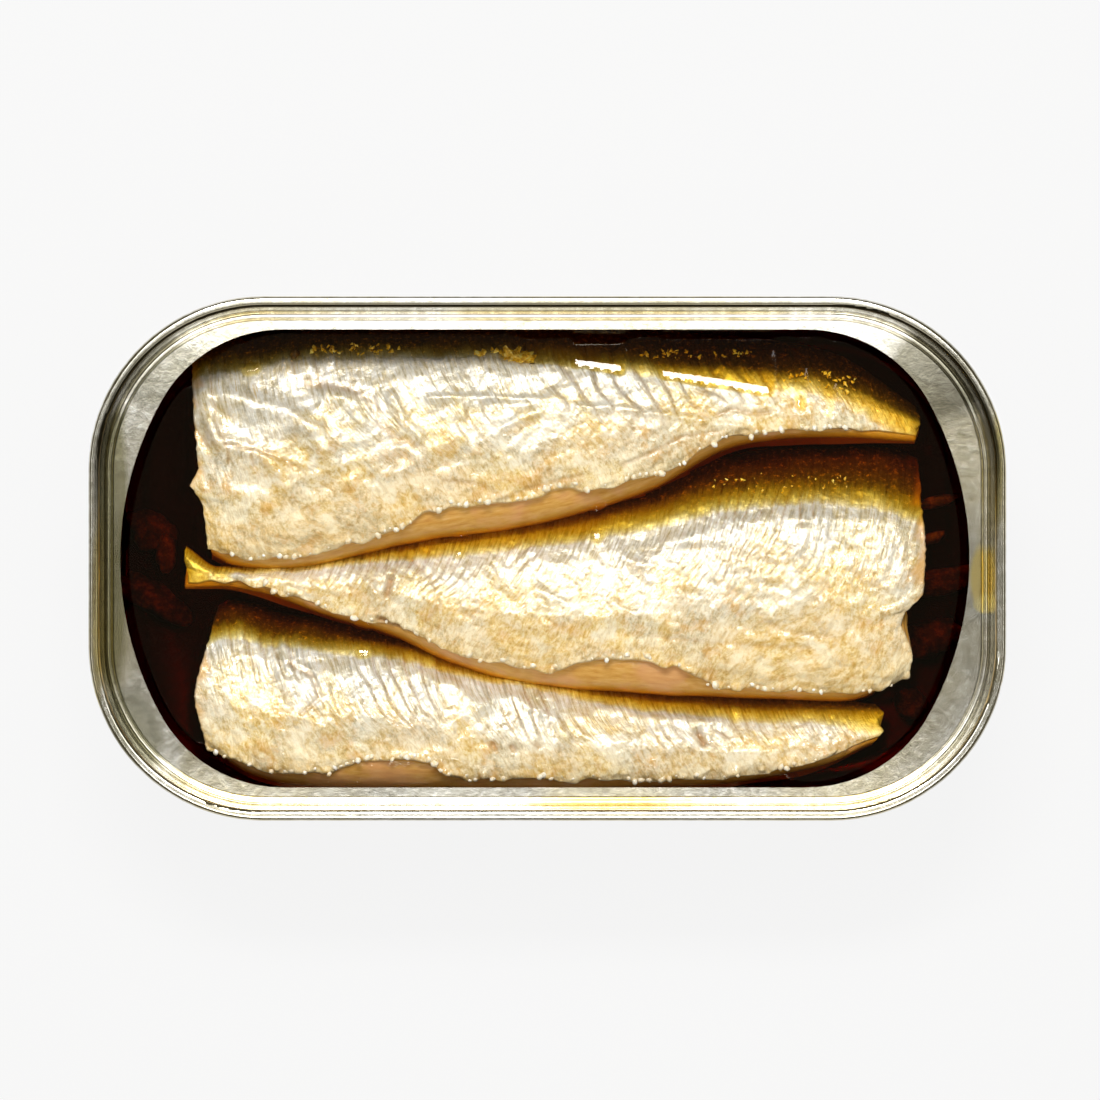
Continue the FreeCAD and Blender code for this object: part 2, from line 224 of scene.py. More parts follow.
def store(piece, name, values):
    """Keeps one number for each vertex under a name that the materials read."""
    layer = piece.data.attributes.new(name, "FLOAT", "POINT")
    layer.data.foreach_set("value", np.ascontiguousarray(values, dtype=np.float32))


def close_up(piece, gap):
    """Joins the edges that meet, points the faces outwards and shades them smoothly."""
    open_up(piece)
    bpy.ops.mesh.remove_doubles(threshold=gap)
    bpy.ops.mesh.normals_make_consistent(inside=False)
    bpy.ops.object.mode_set(mode="OBJECT")
    bpy.ops.object.shade_smooth()


def take(piece, material, slot, *nodes):
    """Gives a finished piece its material and its body, and hides the CAD nodes that it stands for."""
    piece.data.materials.clear()
    piece.data.materials.append(material)
    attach(piece, "root")
    if nodes:
        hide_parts(*nodes)


# ---------------------------------------------------------------- settings


class TinLook(bpy.types.PropertyGroup):
    """Finish of the tin"""

    plate_colour: FloatVectorProperty(
        name="Tinplate", description="Colour of the bare tinplate",
        subtype="COLOR", size=4, min=0, max=1, default=srgb("#dcd9d0"),
    )
    lacquer_colour: FloatVectorProperty(
        name="Lacquer", description="Colour of the lacquer and oil film on the lid's ring",
        subtype="COLOR", size=4, min=0, max=1, default=srgb("#c9b45e"),
    )


class FishLook(bpy.types.PropertyGroup):
    """Shape of the fish"""

    relief: FloatProperty(
        name="Relief", description="Depth of the folds and muscle lines, as a share of the usual",
        min=0, max=3, default=1.0, subtype="FACTOR",
    )
    along: IntProperty(name="Steps along", description="Mesh steps from the cut to the tail", default=400)
    around: IntProperty(name="Steps around", description="Mesh steps round a fish", default=204)


class OilLook(bpy.types.PropertyGroup):
    """Colour and rise of the oil"""

    colour: FloatVectorProperty(
        name="Oil", description="What a thin layer of the oil lets through",
        subtype="COLOR", size=4, min=0, max=1, default=(0.911, 0.785, 0.028, 1.0),
    )
    density: FloatProperty(
        name="Density", description="How fast the oil takes up light, per metre", min=0, default=1750.0,
    )
    climb: FloatProperty(
        name="Climb", description="How far the oil climbs where it meets fish or tin",
        default=0.64 * MM, unit="LENGTH",
    )


class StageLook(bpy.types.PropertyGroup):
    """Floor and lights"""

    floor_colour: FloatVectorProperty(
        name="Floor", description="Colour of the pale floor",
        subtype="COLOR", size=4, min=0, max=1, default=srgb("#f9f9f9"),
    )
    key_power: FloatProperty(
        name="Key light", description="Power of the large soft light", default=3.0, unit="POWER",
    )


# ---------------------------------------------------------------- materials

# Patches on the lid's ring: centre and half sizes in millimetres, strength, colour. The yellow ones are
# lacquer; the grey ones are painted shade, standing in for the darker reflections at the ledge's corners
# and left side.
LACQUER_AND_SHADE_PATCHES = (
    ((50.0, -2.2, 19.0), (1.6, 4.2, 4.0), 0.9, "#f4df92"),
    ((50.4, -5.2, 19.0), (1.6, 1.3, 4.0), 0.7, "#fff2b8"),
    # Grey patches of painted shade on the ledge.
    ((-48.6, -21.0, 19.0), (5.0, 7.0, 4.0), 0.7, "#8f8c74"),
    ((-50.2, 2.0, 19.0), (2.4, 22.0, 3.0), 0.75, "#908a60"),
    ((-44.0, 21.0, 19.0), (6.0, 5.0, 4.0), 0.6, "#8c8874"),
    ((44.8, 21.2, 19.0), (7.0, 6.4, 4.0), 0.85, "#767260"),
    # Yellow lacquer on the seam.
    ((8.0, -28.2, 20.0), (14.0, 0.8, 4.0), 0.5, "#c8aa48"),
    ((51.4, 10.0, 20.4), (0.9, 9.0, 3.0), 0.6, "#cdbb5c"),
    ((-51.4, -6.0, 20.4), (0.9, 16.0, 3.0), 0.6, "#c4ae4e"),
)
# Outline of the seam, from its middle to its straight edges, and the radius of its corners.
SEAM_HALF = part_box("lid_ring")[1][:2]
SEAM_CORNER = 20.0 * MM


def tinplate(name, look, drawn=False):
    """Electrolytic tinplate: steel sheet with a thin bright coat of tin, drawn to shape.

    It gives a bright, slightly warm metal, finely mottled on the flat lid and streaked up the wall where
    the body was drawn, with yellow patches where lacquer and oil lie on it, grey patches of painted shade
    on the ledge, and a dark band of painted shade on the seam's inner wall along the far side.
    """
    material, tree = new_material(name)
    place = node(tree, "TexCoord", out="Object")
    mottle = node(tree, "TexNoise", place, 900.0, 4.0, 0.65)
    cloud = node(tree, "TexNoise", place, 95.0, 3.0)
    film = node(tree, "TexNoise", place, 42.0, 2.0, Distortion=0.6)
    plate = node(tree, "ValToRGB", mottle, stops=((0.3, "#cfcdc1"), (0.5, "#e6e4dc"), (0.7, "#fbfbf8")))
    if drawn:
        pulled = node(tree, "VectorMath", place, (1.0, 1.0, 0.03), operation="MULTIPLY")
        streaks = node(tree, "TexNoise", pulled, 560.0, 3.0)
        stops = ((0.35, "#dddbd4"), (0.5, "#e8e6e0"), (0.65, "#f2f1ec"))
        streaked = node(tree, "ValToRGB", streaks, stops=stops)
        plate = node(tree, "Mix", 0.85, plate, streaked)
    metal = node(tree, "Mix", 0.6, plate, tuple(look.plate_colour), blend_type="MULTIPLY")
    filmed = node(tree, "MapRange", film, 0.5, 0.62, 0.0, 0.08 if drawn else 0.25)
    metal = node(tree, "Mix", filmed, metal, tuple(look.lacquer_colour))
    # Lacquer patches, and grey patches of painted shade.
    for centre, half, strength, colour in LACQUER_AND_SHADE_PATCHES:
        offset = node(tree, "VectorMath", place, [value * MM for value in centre], operation="SUBTRACT")
        shrunk = node(tree, "VectorMath", offset, [value * MM for value in half], operation="DIVIDE")
        reach = node(tree, "VectorMath", shrunk, operation="LENGTH")
        metal = node(tree, "Mix", node(tree, "MapRange", reach, 1.0, 0.7, 0.0, strength), metal, colour)

    # Painted shade: the inner wall of the seam is darkened along the far side, standing in for the dark
    # surroundings that it mirrors.
    x, y, z = (node(tree, "SeparateXYZ", place, out=axis) for axis in "XYZ")
    folded = node(tree, "VectorMath", node(tree, "CombineXYZ", x, y), operation="ABSOLUTE")
    straight = (SEAM_HALF[0] - SEAM_CORNER, SEAM_HALF[1] - SEAM_CORNER, 0.0)
    past = node(tree, "VectorMath", folded, straight, operation="SUBTRACT")
    past = node(tree, "VectorMath", past, (0.0, 0.0, 0.0), operation="MAXIMUM")
    corner = node(tree, "VectorMath", past, operation="LENGTH")
    inset = node(tree, "Math", SEAM_CORNER, corner, operation="SUBTRACT")
    painted_seam_shade = node(tree, "MapRange", inset, 0.45 * MM, 0.85 * MM, 0.0, 0.94)
    for value, low, high in ((inset, 1.95, 1.6), (y, -3.0, 12.0), (z, 18.9, 19.3)):
        part = node(tree, "MapRange", value, low * MM, high * MM)
        painted_seam_shade = node(tree, "Math", painted_seam_shade, part, operation="MULTIPLY")
    metal = node(tree, "Mix", painted_seam_shade, metal, "#3a3526")

    rough = node(tree, "MapRange", cloud, 0.0, 1.0, 0.10, 0.19)
    bump = node(tree, "Bump", Height=mottle, Strength=0.22, Distance=0.04 * MM)
    shader = node(tree, "BsdfPrincipled", metal, Metallic=1.0, Roughness=rough, Normal=bump)
    node(tree, "OutputMaterial", shader)
    return material


# Colours of the fish from dark to light, as places on a ramp.
SILVER = ((0.28, "#989689"), (0.42, "#c4c1b5"), (0.52, "#dedacf"), (0.66, "#faf9f6"))
CREAM = ((0.28, "#c29a4c"), (0.43, "#e4c67c"), (0.54, "#f5e3ae"), (0.68, "#fff8e2"))
GOLD = ((0.32, "#b6751f"), (0.45, "#dd9f3e"), (0.57, "#ecbf6c"), (0.72, "#f8e0ac"))
STRIPED = ((0.32, "#857f6c"), (0.43, "#bbac86"), (0.50, "#dfd8c4"), (0.60, "#faf9f5"), (0.70, "#d9bc80"))
FLECKED = ((0.34, "#93793a"), (0.44, "#cfad5c"), (0.50, "#ecdeb6"), (0.58, "#fffef8"), (0.70, "#e9d290"))
# The dark back's ramp: the fish's own dark pigment, and painted shade where the ledge and the fish above
# shade it.
DARK_BACK_AND_SHADE = ((0.42, "#2a1d0c"), (0.56, "#4d3a1c"), (0.63, "#8a6a2a"), (0.7, "#e0b23a"))
MEAT = ((0.22, "#c08032"), (0.42, "#d39a46"), (0.60, "#ddaa58"), (0.80, "#e8bc7c"))


def fish_skin(name):
    """Skin of a cooked sardine: silver scales over pale flesh, stained gold and brown by the oil.

    It gives a wet cream and silver surface with fine scales and muscle lines, warm stains towards the
    belly, a dark back that is partly the fish's pigment and partly painted shade under the tin's ledge and
    the fish above, and bare tan flesh along the belly and at the cut.
    """
    material, tree = new_material(name)
    place = node(tree, "TexCoord", out="Object")
    along, over, slant, across, flesh, lines, stain, dark_back_and_shade = (
        node(tree, "Attribute", attribute_name=label, out="Fac")
        for label in ("along", "over", "slant", "across", "flesh", "lines", "stain", "dark_back_and_shade")
    )
    # The pattern's own plane is in millimetres along and over the fish.
    leaning, level = node(tree, "CombineXYZ", slant, over), node(tree, "CombineXYZ", along, over)
    upright = node(tree, "VectorMath", leaning, (2.3, 0.30, 0.0), operation="MULTIPLY")
    rows = node(tree, "VectorMath", leaning, (1.5, 0.75, 0.0), operation="MULTIPLY")
    level = node(tree, "VectorMath", level, (0.55, 2.6, 0.0), operation="MULTIPLY")
    grain = node(tree, "TexNoise", place, 2100.0, 3.0, 0.7)
    patches = node(tree, "TexNoise", place, 300.0, 5.0, 0.65)
    clouds = node(tree, "TexNoise", place, 130.0, 3.0, 0.6)
    stripes = node(tree, "TexNoise", upright, 1.0, 3.0, 0.6)
    fibres = node(tree, "TexNoise", level, 1.0, 3.0, 0.6)
    flecks = node(tree, "TexNoise", rows, 1.0, 5.0, 0.75, Distortion=0.6)
    silver, cream, gold, striped, flecked, back, meat = (
        node(tree, "ValToRGB", factor, stops=stops)
        for factor, stops in (
            (grain, SILVER), (grain, CREAM), (patches, GOLD), (stripes, STRIPED), (flecks, FLECKED),
            (grain, DARK_BACK_AND_SHADE), (fibres, MEAT),
        )
    )

    skin = node(tree, "Mix", node(tree, "MapRange", clouds, 0.42, 0.58), silver, cream)
    golden = node(tree, "MapRange", patches, 0.46, 0.60, 0.0, 0.85)
    skin = node(tree, "Mix", node(tree, "Math", golden, stain, operation="MULTIPLY"), skin, gold)
    stained = node(tree, "MapRange", patches, 0.49, 0.36, 0.0, 0.75)
    lower = node(tree, "MapRange", across, 0.62, 0.32, 0.4, 1.0)
    skin = node(tree, "Mix", node(tree, "Math", stained, lower, operation="MULTIPLY"), skin, "#d6a04a")
    skin = node(tree, "Mix", node(tree, "MapRange", patches, 0.51, 0.61, 0.0, 0.8), skin, "#fffdf6")
    skin = node(tree, "Mix", 0.36, skin, flecked)
    warm = node(tree, "Mix", 1.0, skin, "#fff3d2", blend_type="MULTIPLY")
    skin = node(tree, "Mix", node(tree, "MapRange", across, 0.70, 0.12), skin, warm)
    skin = node(tree, "Mix", node(tree, "MapRange", across, 0.50, 0.74, 0.0, 0.6), skin, striped)
    # Painted shade: brown in the creases and on the steep side of the muscle lines.
    skin = node(tree, "Mix", node(tree, "Math", lines, 0.8, operation="MULTIPLY"), skin, "#a8742f")
    # Pigment and painted shade: the back darkens from a given share of the width, further where the tin's
    # ledge and the fish above shade it.
    dark_back_and_shade_edge = node(tree, "Math", stripes, 0.16, dark_back_and_shade, operation="MULTIPLY_ADD")
    darkened_back_and_shade = node(tree, "MapRange", dark_back_and_shade_edge, 0.08, 0.20, 0.0, 0.92)
    skin = node(tree, "Mix", darkened_back_and_shade, skin, back)
    ochre = node(tree, "MapRange", node(tree, "Math", over, clouds, operation="ADD"), 1.9, 0.9, 0.0, 0.7)
    meat = node(tree, "Mix", ochre, meat, "#c48a26")
    meat = node(tree, "Mix", node(tree, "MapRange", clouds, 0.5, 0.6, 0.0, 0.5), meat, "#e0a274")
    colour = node(tree, "Mix", flesh, skin, meat)

    scaly = node(tree, "Math", stripes, 1.3, grain, operation="MULTIPLY_ADD")
    fleshy = node(tree, "Math", fibres, 0.12, operation="MULTIPLY")
    height = node(tree, "Mix", flesh, scaly, fleshy, data_type="FLOAT")
    bump = node(tree, "Bump", Height=height, Strength=0.6, Distance=0.15 * MM)
    dimples = node(tree, "TexNoise", place, 1000.0, 3.0, 0.6)
    film = node(tree, "Bump", Height=dimples, Strength=0.5, Distance=0.3 * MM)
    shine = node(tree, "MapRange", across, 0.22, 0.62, 0.0, 0.40)
    for cover in (flesh, darkened_back_and_shade):
        left = node(tree, "Math", 1.0, cover, operation="SUBTRACT", use_clamp=True)
        shine = node(tree, "Math", shine, left, operation="MULTIPLY")
    shader = node(
        tree, "BsdfPrincipled", colour, Metallic=shine, Roughness=0.34, IOR=1.45, Normal=bump,
        Coat_Weight=0.9, Coat_Roughness=0.08, Coat_Normal=film,
    )
    node(tree, "OutputMaterial", shader)
    return material


def small_stuff(name, scale, stops, roughness, metallic, coat):
    """A wet mottled finish for small things, from a few colours."""
    material, tree = new_material(name)
    mottle = node(tree, "TexNoise", node(tree, "TexCoord", out="Object"), scale, 4.0, 0.6)
    bump = node(tree, "Bump", Height=mottle, Strength=0.4, Distance=0.05 * MM)
    shader = node(
        tree, "BsdfPrincipled", node(tree, "ValToRGB", mottle, stops=stops), Metallic=metallic,
        Roughness=roughness, IOR=1.45, Normal=bump, Coat_Weight=coat, Coat_Roughness=0.05,
    )
    node(tree, "OutputMaterial", shader)
    return material


def set_juice(name):
    """Juice of the fish, set to white curd by cooking: pale, soft and wet, with sharp glints."""
    return small_stuff(name, 1400.0, ((0.3, "#e2c48e"), (0.5, "#f6e8c8"), (0.65, "#fffdf4")), 0.3, 0.0, 0.9)


def loose_scale(name):
    """Scales of the fish, thin horny discs that mirror light: gold in the oil."""
    return small_stuff(name, 1700.0, ((0.3, "#a8751c"), (0.5, "#ecc040"), (0.65, "#fff0a0")), 0.35, 0.1, 0.3)


def flesh_bit(name):
    """Crumbs of cooked dark flesh soaked in oil: rough and brown."""
    return small_stuff(name, 900.0, ((0.3, "#2e1a08"), (0.5, "#5a3a14"), (0.68, "#96702c")), 0.5, 0.0, 0.1)


def packing_oil(name, look):
    """Olive oil that the fish were cooked in: clear, golden where thin and near black where deep.

    It gives a sharp wet gloss over a colour that deepens with the depth below.
    """
    material, tree = new_material(name)
    glossy = node(tree, "BsdfPrincipled", "#ffffff", Roughness=0.0, IOR=1.47, Transmission_Weight=1.0)
    clear = node(tree, "BsdfTransparent")
    surface = node(tree, "MixShader", node(tree, "LightPath", out="Is Shadow Ray"), glossy, clear)
    volume = node(tree, "VolumeAbsorption", tuple(look.colour), look.density)
    node(tree, "OutputMaterial", surface, volume)
    return material


# ---------------------------------------------------------------- the fish

# Each fish is given from its cut end to its tail, along +X or -X. A row is one section: the share
# of the length, the belly's and the back's edges and the lowest and highest points, in millimetres.
# A mark is a fold or crease: its line, its height and its width. The other rows are a share of the
# length, or of the width for the two ends, with the value there. Two of them set where across the
# width the back turns dark and how strongly: partly the fish's dark back, partly painted shade where
# the tin's ledge and the fish above shade it.
FISH = {
    "top": {
        "node": "sardine_top",
        "facing": 1,
        "seed": 11,
        "muscle": 2.4,
        "back_fullness": ((0.0, 1.7), (0.4, 1.6), (0.52, 1.38), (0.7, 1.2), (1.0, 1.1)),
        "ridge": ((0.0, 0.4), (0.6, 0.38), (0.8, 0.28), (1.0, 0.2)),
        "dark_back_and_shade": ((0.0, 0.79), (0.5, 0.785), (0.63, 0.705), (0.8, 0.545), (0.9, 0.5), (1.0, 0.5)),
        "dark_back_and_shade_strength": ((0.0, 1.0), (1.0, 0.7)),
        "sections": (
            (0.00, -0.2, 25.2, 2.2, 15.2),
            (0.03, -1.3, 25.8, 1.6, 15.7),
            (0.10, -1.8, 26.4, 1.3, 16.3),
            (0.29, 1.2, 27.0, 1.3, 16.6),
            (0.51, 4.2, 27.0, 1.6, 16.3),
            (0.63, 7.4, 26.6, 2.2, 15.7),
            (0.76, 12.8, 25.8, 3.6, 14.5),
            (0.90, 13.6, 23.4, 6.8, 13.5),
            (1.00, 13.4, 17.8, 9.4, 12.3),
        ),
        "marks": (
            (((-39.5, 18.6), (-35.1, 18.1), (-30.5, 17.0), (-27.1, 14.7), (-24.8, 11.3)), 0.75, 1.3),
            (((-39.2, 15.8), (-38.0, 13.5), (-34.0, 12.4), (-31.7, 10.7), (-30.0, 8.4)), 0.62, 1.1),
            (
                ((-27.7, 20.4), (-23.1, 19.6), (-20.3, 18.5), (-19.5, 15.8), (-17.4, 13.9), (-15.1, 13.0)),
                -0.28, 0.6,
            ),
            (((-25.4, 19.0), (-22.6, 17.8), (-21.6, 15.8)), 0.36, 0.9),
            (((-18.0, 18.6), (-16.6, 15.8), (-14.8, 14.2)), 0.36, 0.7),
            (((-37.2, 13.1), (-33.7, 12.7), (-31.1, 11.7), (-28.3, 10.1)), -0.28, 0.28),
            (((-13.7, 18.4), (-8.8, 18.6), (-0.3, 18.4)), 0.24, 0.40),
            (((3.5, 17.5), (8.0, 17.3), (12.3, 16.7), (16.8, 16.2), (19.6, 15.5), (24.0, 15.3)), 0.28, 0.45),
            (((8.9, 10.9), (11.5, 12.0), (15.6, 14.1), (19.6, 14.7)), -0.26, 0.28),
            (((-12.0, 9.0), (-8.0, 8.6), (-5.0, 7.0), (-1.0, 8.4), (4.0, 9.6)), -0.26, 0.28),
            (((20.6, 13.2), (22.6, 13.9)), -0.75, 0.42),
            (((19.6, 16.6), (21.4, 17.4), (23.8, 16.8), (25.8, 17.0)), -0.32, 0.3),
        ),
        "tail": ((0.0, 0.4), (0.3, 0.6), (0.6, 0.0), (1.0, 0.4)),
        "cut": ((0.0, 2.4), (0.25, 1.6), (0.34, 0.2), (0.42, 1.2), (0.7, 0.5), (1.0, 0.0)),
        "flesh": (
            (0.0, 1.2), (0.12, 1.6), (0.29, 2.0), (0.33, 3.7), (0.5, 3.7), (0.57, 2.6), (0.64, 1.8),
            (1.0, 1.0),
        ),
    },
    "middle": {
        "node": "sardine_middle",
        "facing": -1,
        "seed": 23,
        "muscle": 1.3,
        "back_fullness": ((0.0, 1.28), (0.45, 1.25), (0.65, 1.2), (0.8, 1.4), (1.0, 1.7)),
        "ridge": ((0.0, 0.36), (0.5, 0.4), (1.0, 0.45)),
        "dark_back_and_shade": ((0.0, 0.72), (0.33, 0.77), (0.5, 0.84), (0.66, 0.86), (0.8, 1.0), (1.0, 1.0)),
        "dark_back_and_shade_strength": ((0.0, 1.0), (0.35, 0.9), (0.5, 0.6), (1.0, 0.5)),
        "sections": (
            (0.00, -15.0, 11.8, 2.2, 15.2),
            (0.03, -16.4, 12.8, 1.6, 15.8),
            (0.08, -17.2, 13.2, 1.3, 16.3),
            (0.18, -16.9, 13.0, 1.3, 16.6),
            (0.28, -16.6, 11.6, 1.3, 16.6),
            (0.42, -16.0, 7.6, 1.3, 16.4),
            (0.55, -14.9, 6.0, 1.5, 16.0),
            (0.64, -12.6, 4.6, 2.2, 15.5),
            (0.72, -9.4, 2.8, 3.2, 15.0),
            (0.80, -7.4, 1.2, 4.8, 14.3),
            (0.89, -4.6, -0.3, 7.6, 13.3),
            (0.955, -3.6, -0.9, 9.4, 12.6),
            (1.00, -3.6, 1.4, 9.8, 12.3),
        ),
        "marks": (
            (((-18.2, -2.4), (-18.6, -4.2)), -0.62, 0.36),
            (((-20.4, -3.4), (-19.6, -5.0)), 0.35, 0.6),
            (((-19.4, -7.2), (-17.6, -8.2), (-15.7, -9.3)), -0.7, 0.45),
            (((-16.6, 0.4), (-13.4, -2.2), (-12.6, -5.4), (-14.2, -8.0)), -0.2, 0.35),
            (((14.0, 2.2), (22.0, 3.9), (30.0, 4.4), (40.0, 4.2)), 0.30, 1.1),
            (((12.0, -9.0), (20.0, -9.8), (30.0, -10.4)), -0.16, 0.3),
            (((24.0, -6.0), (27.0, -8.4), (33.0, -9.2)), -0.2, 0.3),
        ),
        "tail": ((0.0, 0.2), (0.4, 1.6), (0.8, 0.5), (1.0, 0.3)),
        "cut": (
            (0.0, 4.0), (0.05, 2.2), (0.14, 1.6), (0.26, 3.0), (0.33, 2.6), (0.4, 0.4), (0.6, 0.0),
            (1.0, 0.6),
        ),
        "flesh": (
            (0.0, 1.0), (0.2, 1.4), (0.29, 1.7), (0.34, 3.9), (0.45, 4.2), (0.51, 2.2), (0.8, 1.3),
            (1.0, 0.6),
        ),
    },
    "bottom": {
        "node": "sardine_bottom",
        "facing": 1,
        "seed": 37,
        "muscle": 1.8,
        "back_fullness": ((0.0, 1.5), (0.5, 1.42), (0.75, 1.15), (1.0, 1.05)),
        "ridge": ((0.0, 0.42), (0.7, 0.4), (1.0, 0.3)),
        "dark_back_and_shade": ((0.0, 0.77), (0.2, 0.79), (0.4, 0.88), (0.6, 0.86), (0.75, 0.78), (1.0, 0.7)),
        "dark_back_and_shade_strength": ((0.0, 1.2), (0.3, 1.0), (1.0, 0.5)),
        "sections": (
            (0.00, -23.8, -5.4, 2.2, 14.8),
            (0.03, -25.2, -4.8, 1.6, 15.3),
            (0.09, -26.7, -6.2, 1.4, 15.8),
            (0.16, -27.2, -7.0, 1.4, 16.2),
            (0.28, -27.4, -8.8, 1.4, 16.2),
            (0.40, -27.5, -11.2, 1.6, 16.0),
            (0.53, -27.5, -13.0, 2.0, 15.8),
            (0.64, -27.3, -14.4, 2.6, 15.4),
            (0.82, -26.2, -15.6, 4.6, 14.8),
            (0.94, -23.8, -16.4, 7.8, 13.6),
            (1.00, -21.8, -17.0, 9.4, 12.6),
        ),
        "marks": (
            (((-6.3, -21.6), (-6.0, -22.0)), -0.5, 0.34),
            (((-4.1, -21.8), (-3.9, -22.1)), -0.5, 0.34),
            (((-1.3, -21.5), (-1.0, -21.9)), -0.4, 0.3),
            (((17.6, -20.2), (18.1, -21.4)), -0.6, 0.36),
            (((-30.0, -12.2), (-27.2, -13.6), (-26.4, -16.2), (-28.4, -18.0)), -0.26, 0.3),
            (((-15.0, -13.6), (-11.0, -15.0), (-8.0, -17.2)), 0.34, 0.8),
            (((-4.0, -16.4), (0.0, -18.4), (2.0, -20.6)), 0.3, 0.7),
            (((6.0, -17.6), (12.0, -18.6), (20.0, -19.2)), 0.26, 0.6),
        ),
        "tail": ((0.0, 1.4), (0.35, 0.3), (0.55, 1.2), (0.8, 0.2), (1.0, 0.9)),
        "cut": ((0.0, 3.0), (0.1, 1.6), (0.4, 0.0), (0.55, 0.4), (1.0, 2.6)),
        "flesh": ((0.0, 1.6), (0.1, 2.0), (0.2, 1.9), (0.24, 3.8), (0.34, 3.8), (0.38, 1.8), (1.0, 1.0)),
    },
}
CAP_STEPS = 10
OUTLINE_STEPS = 900
# How square the outline is at the belly's edge; 2 is an ellipse.
BELLY_FULLNESS = 2.6
# Share of the mesh steps spent on the unseen underside.
UNDERSIDE_SHARE = 0.22
# Beads of juice sit this far above the edge of the bare flesh, in millimetres.
BEAD_RISE = 0.45


def section_outline(steps, back_fullness):
    """Unit outline of a fish from under its belly, over the top and down its back, closed below.

    Returns (reach, rise): reach is -1 at the belly's edge and 1 at the back's, rise is 1 on top.
    """
    angle = np.linspace(0, 2 * math.pi, steps)
    reach = -np.cos(angle)
    fullness = np.where(reach < 0, BELLY_FULLNESS, np.where(np.sin(angle) > 0, back_fullness, 2.0))
    rise = np.sign(np.sin(angle)) * np.abs(np.sin(angle)) ** (2 / fullness)
    return np.sign(reach) * np.abs(reach) ** (2 / fullness), rise


def fish_surface(plan, along, around):
    """The smooth form of a fish as rows of points from cut to tail, in millimetres.

    Also gives each point's distance from the cut, and from the belly's edge, and the local width.
    """
    low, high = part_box(plan["node"])
    length = (high[0] - low[0]) / MM
    cut_x = low[0] / MM if plan["facing"] > 0 else high[0] / MM
    table = np.array(plan["sections"])
    share = np.linspace(0, 1, along + 1)
    eased = [smooth_through(table[:, 0], table[:, k], share) for k in range(1, 5)]
    fullness = read_off(plan["back_fullness"], share)
    ridge = read_off(plan["ridge"], share)
    at = np.linspace(0, 1, around + 1)
    points = np.empty((along + 1, around + 1, 3))
    over_belly = np.empty((along + 1, around + 1))
    width = eased[1] - eased[0]
    for row in range(along + 1):
        belly, back, bottom, top = (column[row] for column in eased)
        reach, rise = section_outline(OUTLINE_STEPS, fullness[row])
        peak = belly + ridge[row] * (back - belly)
        y = np.where(reach < 0, peak + reach * (peak - belly), peak + reach * (back - peak))
        hip = np.where(reach < 0, 0.62, 0.42 + 0.2 * (1 - np.clip(reach, 0, 1)))
        waist = bottom + hip * (top - bottom)
        z = np.where(rise > 0, waist + rise * (top - waist), waist + rise * (waist - bottom))
        step = np.hypot(np.diff(y), np.diff(z)) * np.where(rise[1:] > -0.12, 1.0, UNDERSIDE_SHARE)
        walked = np.concatenate(([0], np.cumsum(step)))
        walked /= walked[-1]
        points[row, :, 1] = np.interp(at, walked, y)
        points[row, :, 2] = np.interp(at, walked, z)
        over_belly[row] = points[row, :, 1] - belly
    t = np.clip(over_belly / width[:, None], 0, 1)
    setback = read_off(plan["cut"], t[0])
    setback = setback + 0.28 * np.abs(Noise(plan["seed"] + 8).layered(over_belly[0] / 0.9, 2.5, 2))
    run = share[:, None] * length
    reach_in = setback[None, :] * (1 - share[:, None]) ** 3
    torn = 0.35 * Noise(plan["seed"] + 9).at(over_belly[-1] / 0.55, 0.5)
    short = read_off(plan["tail"], t[-1]) + torn
    distance = run + reach_in - short[None, :] * smooth(share[:, None], 0.9, 1.0)
    points[:, :, 0] = cut_x + plan["facing"] * distance
    return points, distance, over_belly, width


def smooth_through(places, values, share):
    """A smooth curve through a few values, without overshoot."""
    slopes = np.gradient(values, places)
    rises = np.diff(values) / np.diff(places)
    for k, rise in enumerate(rises):
        if rise == 0:
            slopes[k] = slopes[k + 1] = 0
            continue
        for end in (k, k + 1):
            slopes[end] = np.clip(slopes[end] / rise, 0, 3) * rise
    k = np.clip(np.searchsorted(places, share) - 1, 0, len(places) - 2)
    span = places[k + 1] - places[k]
    f = (share - places[k]) / span
    return (
        values[k] * (1 + 2 * f) * (1 - f) ** 2
        + values[k + 1] * f * f * (3 - 2 * f)
        + slopes[k] * span * f * (1 - f) ** 2
        - slopes[k + 1] * span * f * f * (1 - f)
    )


def surface_normals(points):
    """Outward normals of a surface given as rows of points."""
    down = np.gradient(points, axis=0)
    over = np.gradient(points, axis=1)
    normal = np.cross(down, over)
    normal /= np.linalg.norm(normal, axis=2, keepdims=True) + 1e-12
    centre = points.mean(axis=1, keepdims=True)
    inwards = (normal * (points - centre)).sum() < 0
    return -normal if inwards else normal


def marks_over(points, marks):
    """Height of the named folds and creases over a fish, and a mask of the creases for their painted shade.
    """
    height = np.zeros(points.shape[:2])
    crease = np.zeros(points.shape[:2])
    x, y = points[:, :, 0], points[:, :, 1]
    for line, amount, width in marks:
        nearest = np.full(x.shape, 99.0)
        for (x0, y0), (x1, y1) in zip(line[:-1], line[1:]):
            run = (x1 - x0) ** 2 + (y1 - y0) ** 2
            along = np.clip(((x - x0) * (x1 - x0) + (y - y0) * (y1 - y0)) / run, 0, 1)
            away = np.hypot(x - x0 - along * (x1 - x0), y - y0 - along * (y1 - y0))
            nearest = np.minimum(nearest, away)
        shape = np.exp(-((nearest / width) ** 2))
        height += amount * shape * (1.0 if amount > 0 or amount < -0.4 else 0.6)
        # Deeper creases get stronger painted shade.
        if amount < 0:
            crease = np.maximum(crease, shape * min(1.0, -amount * 1.6))
    return height, crease


